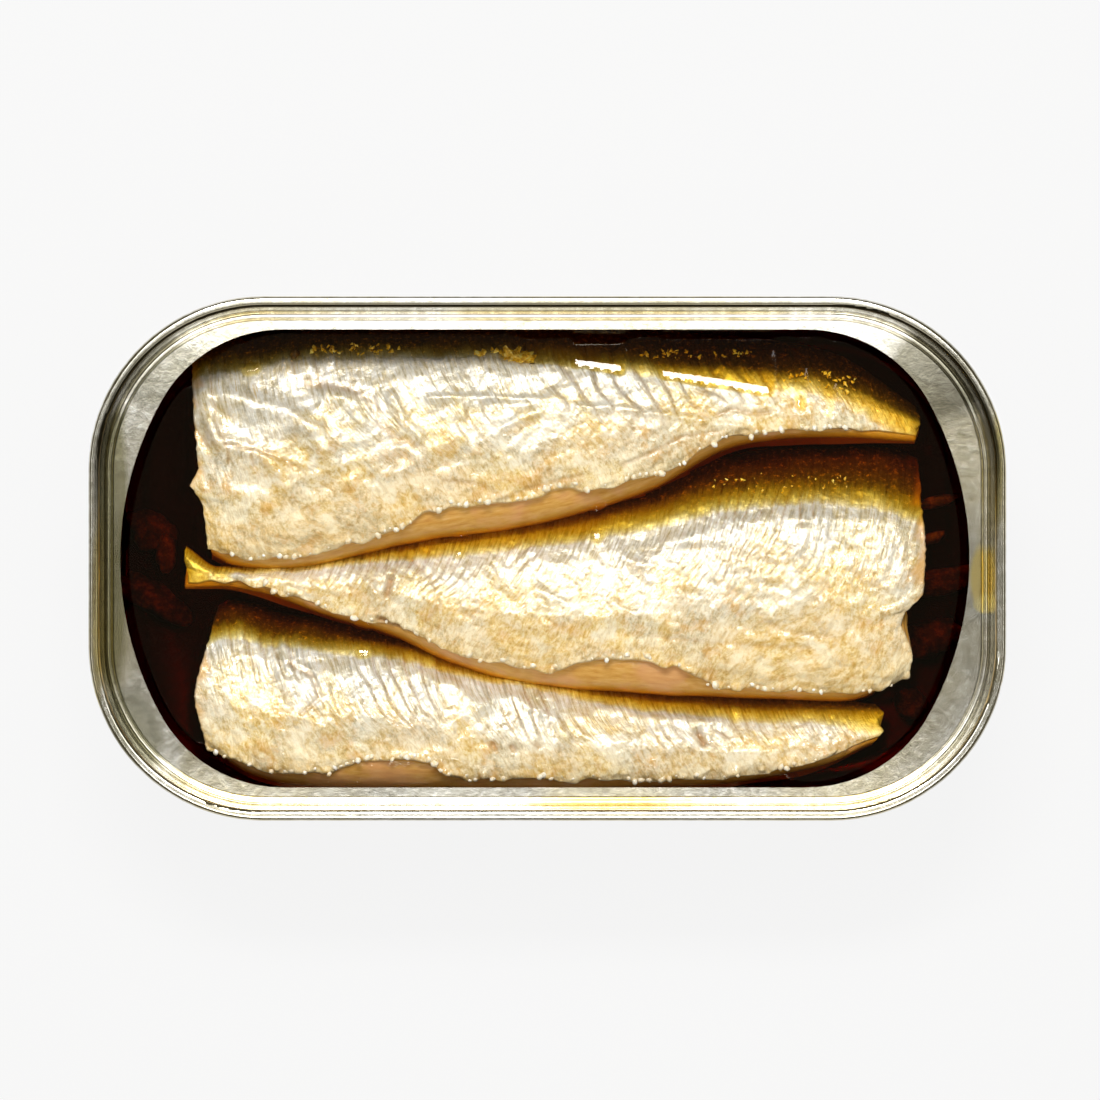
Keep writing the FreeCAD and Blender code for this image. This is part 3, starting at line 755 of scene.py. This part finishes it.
def fish_relief(plan, points, distance, over_belly, width, upper):
    """Height of folds, muscle lines and beads over the smooth form, with masks for the skin.

    Also gives how far each point lies above the edge of the bare flesh along the belly.
    """
    noise = Noise(plan["seed"])
    other = Noise(plan["seed"] + 1)
    a, q = distance, over_belly
    w = width[:, None]
    t = np.clip(q / w, 0, 1)
    length = a.max()
    warp = 1.5 * noise.at(a / 7, q / 6) + 0.4 * other.at(a / 2.4, q / 2.4)

    broad = 0.26 * noise.layered(a / 9, q / 6, 2)
    tilt = 0.35 + 0.5 * smooth(a, 6, 24)
    lean = -tilt * w * np.where(t > 0.4, (1 - t) ** 2, 0.36 + 0.6 * (0.4 - t))
    slanted = a + lean + warp
    phase = slanted / plan["muscle"]
    saw = phase % 1.0
    ridge = smooth(saw, 0.0, 0.62) * (1 - smooth(saw, 0.72, 1.0))
    where_lines = smooth(other.layered(a / 8 + 5, q / 9, 2), -0.35, 0.25)
    ridged = where_lines * smooth(t, 0.30, 0.52) * (1 - smooth(t, 0.86, 0.98)) * smooth(length - a, 8, 22)
    lines = (1 - smooth(np.abs(saw - 0.9), 0.0, 0.10)) * ridged
    fold_line = noise.layered((a + 0.9 * q) / 10 + 30, (q - 0.4 * a) / 5.2, 2)
    fold = np.exp(-((fold_line / 0.26) ** 2)) * smooth(a, 1.0, 5) * smooth(length - a, 24, 42)
    small = noise.layered(a / 2.1 + 9, q / 1.5, 2)
    grain = noise.layered(a / 0.85, q / 0.7, 2) + 0.5 * other.at(a / 0.45, q / 0.45)
    relief = broad + 0.085 * plan["muscle"] * ridge * ridged + 0.24 * fold * smooth(t, 0.18, 0.4)
    named, crease = marks_over(points, plan["marks"])
    relief = relief + (0.14 + 0.14 * (1 - smooth(t, 0.3, 0.6))) * small + 0.06 * grain + named

    flesh_width = read_off(plan["flesh"], a / length) + 0.35 * noise.at(a / 1.7, 3.0)
    edge = q - flesh_width
    bare = 1 - smooth(edge, -0.15, 0.15)
    bead = np.clip(other.at(a / 0.75, q / 0.9 + 40), 0, 1) * np.exp(-(((edge - 0.55) / 0.55) ** 2))
    fibres = 0.10 * other.layered(a / 5, q / 1.4, 2)
    relief = relief * (1 - bare) + bare * (fibres - 0.5) + 0.5 * bead
    relief = np.where(upper, relief, 0.3 * noise.at(a / 5, q / 5))

    ragged = smooth(1.6 - a + 0.9 * noise.at(q / 1.3, 7.0), 0, 1.2)
    stain = smooth(0.6 * noise.layered(a / 6 + 60, q / 4, 3) + 0.7 * (0.5 - t), -0.1, 0.35)
    # The back's darkening, partly pigment and partly painted shade under the ledge and the fish above.
    dark_back_and_shade = (t - read_off(plan["dark_back_and_shade"], a / length)) * read_off(plan["dark_back_and_shade_strength"], a / length)
    masks = {
        "dark_back_and_shade": dark_back_and_shade,
        "along": a,
        "over": q,
        "slant": a + lean + 0.2 * warp,
        "across": t,
        "flesh": np.clip(np.where(upper, bare, 1.0) + 0.6 * ragged, 0, 1),
        # Painted shade in the creases and along the steep side of the muscle lines.
        "lines": np.clip(0.55 * lines + crease, 0, 1),
        "stain": stain,
    }
    return relief, masks, edge


def cap_rows(ring, facing, noise, depth):
    """Rows that close an end: from a point inside the ring out to the ring, rough as torn flesh."""
    centre = ring.mean(axis=0)
    rows = []
    for k in range(CAP_STEPS):
        share = k / CAP_STEPS
        row = centre + (ring - centre) * share
        dome = depth * (1 - share**2)
        rough = 0.35 * noise.at(row[:, 1] / 1.1, row[:, 2] / 1.1) * min(1, 3 * share) * (1 - share)
        row[:, 0] += facing * (dome + rough)
        rows.append(row)
    return rows


def build_fish(name, plan, look, material):
    """One whole fish: a sheet rolled up round its form, with relief, and closed at both ends.

    Gives the points along the belly where beads of juice can sit.
    """
    points, distance, over_belly, width = fish_surface(plan, look.along, look.around)
    normals = surface_normals(points)
    upper = normals[:, :, 2] > -0.05
    relief, masks, edge = fish_relief(plan, points, distance, over_belly, width, upper)
    length = distance.max()
    thin = smooth(length - distance, 0.0, 9.0) * 0.75 + 0.25
    ends = smooth(distance, 0.0, 1.0)
    points = points + normals * (relief * look.relief * thin * ends)[:, :, None]
    points[:, -1] = points[:, 0]
    noise = Noise(plan["seed"] + 5)
    head = cap_rows(points[0], -plan["facing"], noise, -0.9)
    tail = cap_rows(points[-1], plan["facing"], noise, 0.25)[::-1]
    rows = np.concatenate([np.array(head), points, np.array(tail)])
    piece = grid_piece(name, len(rows) - 1, look.around)
    cell = place_grid(piece, rows * MM)
    for label, mask in masks.items():
        first, last = (np.repeat(end, CAP_STEPS, axis=0) for end in (mask[:1], mask[-1:]))
        if label == "flesh":
            first[:] = 1.0
        store(piece, label, np.concatenate([first, mask, last])[cell[:, 0], cell[:, 1]])
    close_up(piece, 1e-7)
    take(piece, material, "fish", plan["node"])
    column = (np.abs(edge - BEAD_RISE) + 50 * (~upper)).argmin(axis=1)
    rows = np.arange(6, int(0.9 * len(column)), 4)
    return points[rows, column[rows]]


# ---------------------------------------------------------------- small things


def lump(name, size, seed, place, squash, detail=2):
    """One small rounded lump, uneven all round, in millimetres."""
    deselect()
    bpy.ops.mesh.primitive_ico_sphere_add(subdivisions=detail, radius=1)
    piece = just_added(name)
    noise = Noise(seed)
    points = read_points(piece)
    x, y, z = points.T
    rough = 1 + 0.22 * noise.at(x * 3.1 + 7, y * 3.1 + z * 2) + 0.3 * noise.at(x * 1.3 + z, y * 1.3 - z)
    points = points * rough[:, None] * np.array(squash) * size
    points = turned(points, np.random.RandomState(seed).uniform(0, math.tau), 0, 1) + np.array(place)
    write_points(piece, points * MM)
    return piece


def join_all(name, pieces):
    """Joins like pieces into one and shades it smoothly."""
    deselect()
    for piece in pieces:
        piece.select_set(True)
    bpy.context.view_layer.objects.active = pieces[0]
    bpy.ops.object.join()
    bpy.ops.object.shade_smooth()
    return just_added(name)


def flake(name, size, seed, place):
    """One loose scale: a thin disc, dished and ragged, lying nearly flat in the oil."""
    random = np.random.RandomState(seed)
    deselect()
    bpy.ops.mesh.primitive_circle_add(vertices=9, radius=1, fill_type="NGON")
    piece = just_added(name)
    bpy.ops.object.mode_set(mode="EDIT")
    bpy.ops.mesh.poke()
    bpy.ops.mesh.extrude_region_move(TRANSFORM_OT_translate={"value": (0, 0, 0.12)})
    bpy.ops.mesh.select_all(action="SELECT")
    bpy.ops.mesh.normals_make_consistent(inside=False)
    bpy.ops.object.mode_set(mode="OBJECT")
    points = read_points(piece)
    reach = np.hypot(points[:, 0], points[:, 1])
    angle = np.arctan2(points[:, 1], points[:, 0])
    points[:, :2] *= (1 + 0.3 * np.sin(3 * angle + random.uniform(0, 6)) * reach)[:, None]
    points[:, 2] += 0.3 * reach**2
    points *= np.array((1.0, random.uniform(0.4, 0.8), 0.5)) * size
    turn, tip = random.uniform(0, math.tau), random.uniform(-0.5, 0.5)
    points = turned(turned(points, tip, 1, 2), turn, 0, 1) + np.array(place)
    write_points(piece, points * MM)
    return piece


# Where loose scales lie in the oil: centre, half lengths along X and Y, how many, and their size. They
# float just under the oil's surface, between these heights.
SCALE_DRIFTS = (
    ((-5.6, 23.0), (3.6, 1.3), 90, 0.74),
    ((-22.5, 24.3), (5.4, 0.8), 44, 0.27),
    ((16.8, 23.8), (7.5, 0.6), 36, 0.25),
    ((31.6, 20.2), (4.2, 1.8), 60, 0.25),
    ((27.0, 9.0), (8.0, 1.4), 26, 0.20),
)
SCALE_HEIGHTS = (12.35, 12.75)
# Bits of flesh in the oil: place, size and squash.
FLESH_BITS = (
    ((-29.4, 23.4, 12.3), 0.8, (0.8, 1.5, 0.6)),
    ((-28.6, 22.0, 12.7), 0.5, (0.8, 1.4, 0.7)),
    ((-2.0, 21.9, 12.7), 0.7, (1.2, 1.0, 0.6)),
    ((-44.6, 0.6, 7.4), 1.5, (1.5, 0.8, 0.4)),
    ((-46.4, 3.4, 6.2), 2.2, (1.6, 1.0, 0.5)),
    ((-46.2, -5.0, 5.4), 2.4, (0.8, 1.8, 0.5)),
    ((45.4, 6.6, 8.8), 1.2, (0.6, 1.9, 0.4)),
    ((45.0, 2.4, 9.2), 0.9, (0.7, 1.8, 0.5)),
    ((45.8, -2.6, 6.6), 2.2, (0.7, 2.2, 0.5)),
    ((44.6, -9.4, 6.4), 2.2, (0.9, 1.9, 0.5)),
    ((42.6, -17.2, 6.8), 1.8, (1.2, 1.0, 0.5)),
)
# Share of the places along a belly edge that have no bead.
MISSING_BEADS = 0.45


def drift_scales():
    """All the loose scales as one piece."""
    random = np.random.RandomState(71)
    pieces = []
    for (x, y), (half_x, half_y), count, size in SCALE_DRIFTS:
        for _ in range(count):
            across, up = random.uniform(-1, 1, 2)
            height = random.uniform(*SCALE_HEIGHTS)
            place = (x + across * half_x, y + up * half_y * (1 - 0.5 * abs(across)), height)
            pieces.append(flake("loose_scales", size * random.uniform(0.4, 1.3), len(pieces) + 500, place))
    return join_all("loose_scales", pieces)


def scatter_bits():
    """The bits of flesh as one piece."""
    pieces = []
    for place, size, squash in FLESH_BITS:
        pieces.append(lump("flesh_bits", size, 300 + len(pieces), place, squash, 3))
    return join_all("flesh_bits", pieces)


def bead_row(edges):
    """Beads of set juice along the belly edges, one piece for all the fish."""
    random = np.random.RandomState(83)
    pieces = []
    for edge in edges:
        for point in edge:
            if random.uniform() < MISSING_BEADS:
                continue
            place = point + random.normal(0, 0.16, 3) * np.array((1.0, 1.2, 0.3))
            size = random.uniform(0.16, 0.46)
            pieces.append(lump("belly_beads", size, 900 + len(pieces), place, (1.25, 1.0, 0.7), 1))
    return join_all("belly_beads", pieces)


# ---------------------------------------------------------------- the oil


# Where the oil's film is drawn up high along a fish, so that it mirrors the light: the range along X,
# the range along Y and how high, in millimetres and as a share of the climb.
STRETCHED_FILM = (
    ((-35.6, -33.2), (20.0, 25.0), 0.9),
    ((-11.0, -9.4), (-1.0, 6.0), 0.7),
    ((5.0, 6.6), (0.0, 8.0), 0.8),
    ((-22.4, -20.4), (-12.0, -6.0), 0.9),
    ((41.6, 44.5), (6.0, 10.5), 0.8),
)

# The film that stands on the top fish's back, in millimetres: points of its line and its height there,
# the stretches where it is steep enough to mirror the light, and that slope.
FILM_X = (-2.0, 2.9, 9.2, 13.1, 19.5, 26.3, 29.5, 33.0, 36.0)
FILM_Y = (23.4, 22.7, 21.7, 21.35, 20.4, 19.1, 17.6, 16.7, 16.0)
FILM_HEIGHT = (0.6, 0.65, 0.95, 0.75, 0.9, 1.2, 1.1, 0.95, 0.7)
FILM_STRETCHES = ((2.9, 9.0), (13.1, 26.2), (28.8, 30.1), (32.1, 33.5))
FILM_SLOPE = 0.295
# Past its line, towards the belly, the film rises on for so far and then falls with this slope.
FILM_LEVEL = 0.35
FILM_FALL = 1.2
# The oil reaches a little into the wall, and its outline has these corners; the mesh has this step.
OIL_OVERLAP = 0.12 * MM
OIL_CORNER = 18.9 * MM
OIL_STEP = 0.2 * MM
# The bottom of the oil is drawn in to stay clear of the tin's rounded base: height in millimetres, share.
OIL_FOOT = ((2.7, 1.0), (1.3, 0.972))
# How far from tin and fish the climb falls off, and its usual share along the fish.
WALL_REACH = 0.6 * MM
FISH_REACH = 0.9 * MM
USUAL_CLIMB = 0.16


def rounded_inset(x, y, half_x, half_y, radius):
    """How far a point lies inside a rounded rectangle; negative outside."""
    dx = np.abs(x) - (half_x - radius)
    dy = np.abs(y) - (half_y - radius)
    outside = np.hypot(np.maximum(dx, 0), np.maximum(dy, 0)) + np.minimum(np.maximum(dx, dy), 0)
    return radius - outside


def fish_heights(x, y, names):
    """The height of the fish's upper surface over each point; very low where there is none."""
    corners, faces = [], []
    for name in names:
        mesh = bpy.data.objects[name].data
        first = len(corners)
        corners.extend(vertex.co.copy() for vertex in mesh.vertices)
        faces.extend([first + k for k in face.vertices] for face in mesh.polygons)
    tree = BVHTree.FromPolygons(corners, faces)
    heights = np.full(x.shape, -1.0)
    down = Vector((0, 0, -1))
    for index in np.ndindex(x.shape):
        hit = tree.ray_cast(Vector((x[index], y[index], SEAM_TOP)), down)[0]
        if hit is not None:
            heights[index] = hit.z
    return heights


def distance_from(wet, step, passes):
    """Distance on a square grid from each point to the nearest marked one."""
    far = step * passes
    near = np.where(wet, 0.0, far)
    for _ in range(passes):
        ringed = np.pad(near, 1, mode="edge")
        rows, columns = near.shape
        for i in range(3):
            for j in range(3):
                length = step * math.hypot(i - 1, j - 1)
                near = np.minimum(near, ringed[i : i + rows, j : j + columns] + length)
    return near


def blurred(values, passes):
    """Values on a grid, smoothed with their neighbours."""
    rows, columns = values.shape
    for _ in range(passes):
        ringed = np.pad(values, 1, mode="edge")
        values = sum(ringed[i : i + rows, j : j + columns] for i in range(3) for j in range(3)) / 9
    return values


def build_oil(look, material):
    """The oil: a slab to its level that climbs a little along the fish and the tin."""
    half_x, half_y = (half + OIL_OVERLAP for half in OIL_HALF)
    along, across = int(2 * half_x / OIL_STEP), int(2 * half_y / OIL_STEP)
    shares = (np.linspace(-1, 1, steps + 1) for steps in (along, across))
    share_x, share_y = np.meshgrid(*shares, indexing="ij")
    y = share_y * half_y
    bulge = np.maximum(np.abs(y) - (half_y - OIL_CORNER), 0)
    x = share_x * (half_x - OIL_CORNER + np.sqrt(np.maximum(OIL_CORNER**2 - bulge**2, 0)))
    in_mm, up_mm = x / MM, y / MM

    # It climbs the wall all round, and the fish all along, more in the named places.
    inset = rounded_inset(x, y, half_x, half_y, OIL_CORNER)
    climb = look.climb * np.exp(-np.maximum(inset, 0) / WALL_REACH)
    heights = fish_heights(x, y, [f"{name}_fish" for name in FISH])
    near = blurred(distance_from(blurred(heights > OIL_LEVEL, 3) > 0.5, OIL_STEP, 16), 2)
    stretch = np.full(x.shape, USUAL_CLIMB)
    for (from_x, to_x), (from_y, to_y), strength in STRETCHED_FILM:
        here = between(in_mm, from_x, to_x, 0.6, 0.6)
        stretch = np.maximum(stretch, strength * here * between(up_mm, from_y, to_y, 0.6, 0.6))
    climb = climb + look.climb * stretch * np.exp(-near / FISH_REACH)

    # The film on the top fish's back is highest beside its line and falls away on both sides.
    stretch = np.full(x.shape, 0.5)
    for from_x, to_x in FILM_STRETCHES:
        stretch = np.maximum(stretch, 0.5 + 0.5 * between(in_mm, from_x, to_x, 0.5, 0.4))
    height = np.interp(in_mm, FILM_X, FILM_HEIGHT)
    north = up_mm - np.interp(in_mm, FILM_X, FILM_Y)
    film = height * np.exp(-np.maximum(north, -FILM_LEVEL) * FILM_SLOPE / height)
    film = film - np.maximum(-FILM_LEVEL - north, 0) * FILM_FALL
    first, last = FILM_X[0], FILM_X[-1]
    along_back = smooth(in_mm, first - 3.0, first) * (1 - smooth(in_mm, last - 1.0, last + 2.0))
    climb = np.maximum(climb, film * stretch * along_back * MM)
    top = np.stack([x, y, OIL_LEVEL + climb], axis=2)
    piece = grid_piece("oil_fill", along, across)
    place_grid(piece, top)
    open_up(piece)
    bpy.ops.mesh.remove_doubles(threshold=1e-6)
    bpy.ops.mesh.select_all(action="DESELECT")
    bpy.ops.mesh.select_mode(type="EDGE")
    bpy.ops.mesh.select_non_manifold(extend=False)
    for depth, narrowing in OIL_FOOT:
        bpy.ops.mesh.extrude_region_move(TRANSFORM_OT_translate={"value": (0, 0, -1)})
        bpy.ops.object.mode_set(mode="OBJECT")
        for vertex in piece.data.vertices:
            if vertex.co.z < -0.5:
                vertex.co = (vertex.co.x * narrowing, vertex.co.y * narrowing, depth * MM)
        bpy.ops.object.mode_set(mode="EDIT")
    bpy.ops.mesh.edge_face_add()
    bpy.ops.object.mode_set(mode="OBJECT")
    close_up(piece, 1e-7)
    bpy.ops.object.shade_smooth_by_angle(angle=math.radians(50))
    take(piece, material, "oil", "oil")
    return piece


# ---------------------------------------------------------------- operators


class TIN_OT_finish_plate(bpy.types.Operator):
    """Finish the drawn body and the lid's torn ring in tinplate"""

    bl_idname = "tin.finish_plate"
    bl_label = "Finish the tinplate"

    def execute(self, context):
        look = context.scene.tin_look
        for name, finish, drawn in (("tin_body", "drawn tinplate", True), ("lid_ring", "tinplate", False)):
            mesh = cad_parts[name].data
            mesh.materials.clear()
            mesh.materials.append(tinplate(finish, look, drawn))
        return {"FINISHED"}


class TIN_OT_lay_fish(bpy.types.Operator):
    """Lay the three sardines in the tin"""

    bl_idname = "tin.lay_fish"
    bl_label = "Lay the fish"

    def execute(self, context):
        look = context.scene.fish_look
        material = fish_skin("sardine skin")
        edges = [build_fish(f"{name}_fish", plan, look, material) for name, plan in FISH.items()]
        take(bead_row(edges), set_juice("set juice"), "fish")
        return {"FINISHED"}


class TIN_OT_scatter_bits(bpy.types.Operator):
    """Scatter the loose scales and the bits of flesh in the oil"""

    bl_idname = "tin.scatter_bits"
    bl_label = "Scatter scales and bits"

    def execute(self, context):
        take(drift_scales(), loose_scale("loose scale"), "fish")
        take(scatter_bits(), flesh_bit("flesh bit"), "fish")
        return {"FINISHED"}


class TIN_OT_pour_oil(bpy.types.Operator):
    """Pour the oil round the fish"""

    bl_idname = "tin.pour_oil"
    bl_label = "Pour the oil"

    def execute(self, context):
        look = context.scene.oil_look
        build_oil(look, packing_oil("olive oil", look))
        return {"FINISHED"}


# The lights: name, place, target, width and height, share of the key's power, and what sees them. Nothing
# mirrors an unseen one, and a metal one lights the tinplate alone.
LIGHTS = (
    ("key light", (-0.03, 0.40, 0.58), (0.0, 0.0, 0.015), (0.34, 0.10), 1.0, "all"),
    ("west glint", (-0.42, 0.02, 0.56), (0.0, 0.0, 0.015), (0.30, 0.05), 0.05, "all"),
    ("east glint", (0.42, 0.02, 0.56), (0.0, 0.0, 0.015), (0.30, 0.05), 0.05, "all"),
    ("south glint", (0.08, -0.36, 0.58), (0.0, 0.0, 0.015), (0.09, 0.05), 0.035, "all"),
    ("north fill", (0.0, 0.30, 0.55), (0.0, 0.0, 0.0), (0.8, 0.4), 0.6, "unseen"),
    ("south fill", (0.0, -0.30, 0.55), (0.0, 0.0, 0.0), (0.8, 0.4), 0.45, "unseen"),
    ("north sheen", (0.0, 0.25, 0.62), (0.0, 0.25, 0.0), (0.40, 0.38), 0.8, "metal"),
    ("south sheen", (0.0, -0.27, 0.62), (0.0, -0.27, 0.0), (0.40, 0.38), 0.74, "metal"),
)
SENSOR_WIDTH = 36.0
VIEW_DISTANCE = 0.50
VIEW_WIDTH = 125.7 * MM
VIEW_MIDDLE = (0.3 * MM, 0.97 * MM)


def soft_light(name, place, target, size, power):
    """A rectangular soft light that faces its target."""
    data = bpy.data.lights.new(name, "AREA")
    data.shape = "RECTANGLE"
    data.size, data.size_y = size
    data.energy = power
    light = bpy.data.objects.new(name, data)
    bpy.context.scene.collection.objects.link(light)
    light.location = place
    light.rotation_euler = (Vector(target) - Vector(place)).to_track_quat("-Z", "Y").to_euler()
    return light


class TIN_OT_set_stage(bpy.types.Operator):
    """Set the floor, the lights and the camera"""

    bl_idname = "tin.set_stage"
    bl_label = "Set the stage"

    def execute(self, context):
        look = context.scene.stage_look
        deselect()
        bpy.ops.mesh.primitive_plane_add(size=6, location=(0, 0, -0.02 * MM))
        floor = bpy.context.object
        floor.name = "floor"
        bpy.ops.object.transform_apply(location=True, rotation=True, scale=True)
        material, tree = new_material("pale card")
        tooth = node(tree, "TexNoise", node(tree, "TexCoord", out="Object"), 900.0, 2.0)
        speckled = node(tree, "Math", tooth, 0.02, operation="MULTIPLY")
        card = node(tree, "Mix", speckled, tuple(look.floor_colour), "#ffffff")
        dimmed = node(tree, "Mix", 0.95, card, "#000000")
        shader = node(
            tree, "BsdfPrincipled", dimmed, Emission_Color=card, Emission_Strength=0.915, Roughness=0.9,
        )
        node(tree, "OutputMaterial", shader)
        floor.data.materials.append(material)

        world = bpy.data.worlds.new("studio")
        context.scene.world = world
        world.use_nodes = True
        backdrop = world.node_tree.nodes["Background"]
        backdrop.inputs["Color"].default_value = srgb("#efe2b8")
        backdrop.inputs["Strength"].default_value = 0.14

        metal = bpy.data.collections.new("bare metal")
        for name in ("tin_body", "lid_ring"):
            metal.objects.link(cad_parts[name])
        for name, place, target, size, share, sight in LIGHTS:
            light = soft_light(name, place, target, size, look.key_power * share)
            if sight == "unseen":
                light.visible_glossy = False
            elif sight == "metal":
                light.light_linking.receiver_collection = metal

        camera_data = bpy.data.cameras.new("camera")
        camera = bpy.data.objects.new("camera", camera_data)
        context.scene.collection.objects.link(camera)
        camera_data.sensor_width = SENSOR_WIDTH
        camera_data.lens = SENSOR_WIDTH * VIEW_DISTANCE / VIEW_WIDTH
        camera_data.clip_start = 0.01
        camera.location = (*VIEW_MIDDLE, SEAM_TOP + VIEW_DISTANCE)
        context.scene.camera = camera
        context.scene.view_settings.view_transform = "Standard"
        return {"FINISHED"}


class TIN_PT_panel(bpy.types.Panel):
    """Settings and steps of the sardine tin"""

    bl_idname = "TIN_PT_panel"
    bl_label = "Sardine tin"
    bl_space_type = "VIEW_3D"
    bl_region_type = "UI"
    bl_category = "Sardine tin"

    def draw(self, context):
        layout = self.layout
        for operator in OPERATORS:
            layout.operator(operator.bl_idname)
        for group in GROUPS:
            settings = getattr(context.scene, group)
            for name in settings.bl_rna.properties.keys():
                if name not in ("rna_type", "name"):
                    layout.prop(settings, name)


OPERATORS = (TIN_OT_finish_plate, TIN_OT_lay_fish, TIN_OT_scatter_bits, TIN_OT_pour_oil, TIN_OT_set_stage)
GROUPS = {"tin_look": TinLook, "fish_look": FishLook, "oil_look": OilLook, "stage_look": StageLook}


def register():
    """Registers the settings, the steps and the panel."""
    for cls in (*GROUPS.values(), *OPERATORS, TIN_PT_panel):
        bpy.utils.register_class(cls)
    for name, cls in GROUPS.items():
        setattr(bpy.types.Scene, name, PointerProperty(type=cls))


def unregister():
    """Takes them out again."""
    for name in GROUPS:
        delattr(bpy.types.Scene, name)
    for cls in reversed((*GROUPS.values(), *OPERATORS, TIN_PT_panel)):
        bpy.utils.unregister_class(cls)


def main():
    """Builds everything in the scene."""
    register()
    bpy.ops.tin.finish_plate()
    bpy.ops.tin.lay_fish()
    bpy.ops.tin.scatter_bits()
    bpy.ops.tin.pour_oil()
    bpy.ops.tin.set_stage()


if __name__ == "__main__":
    main()
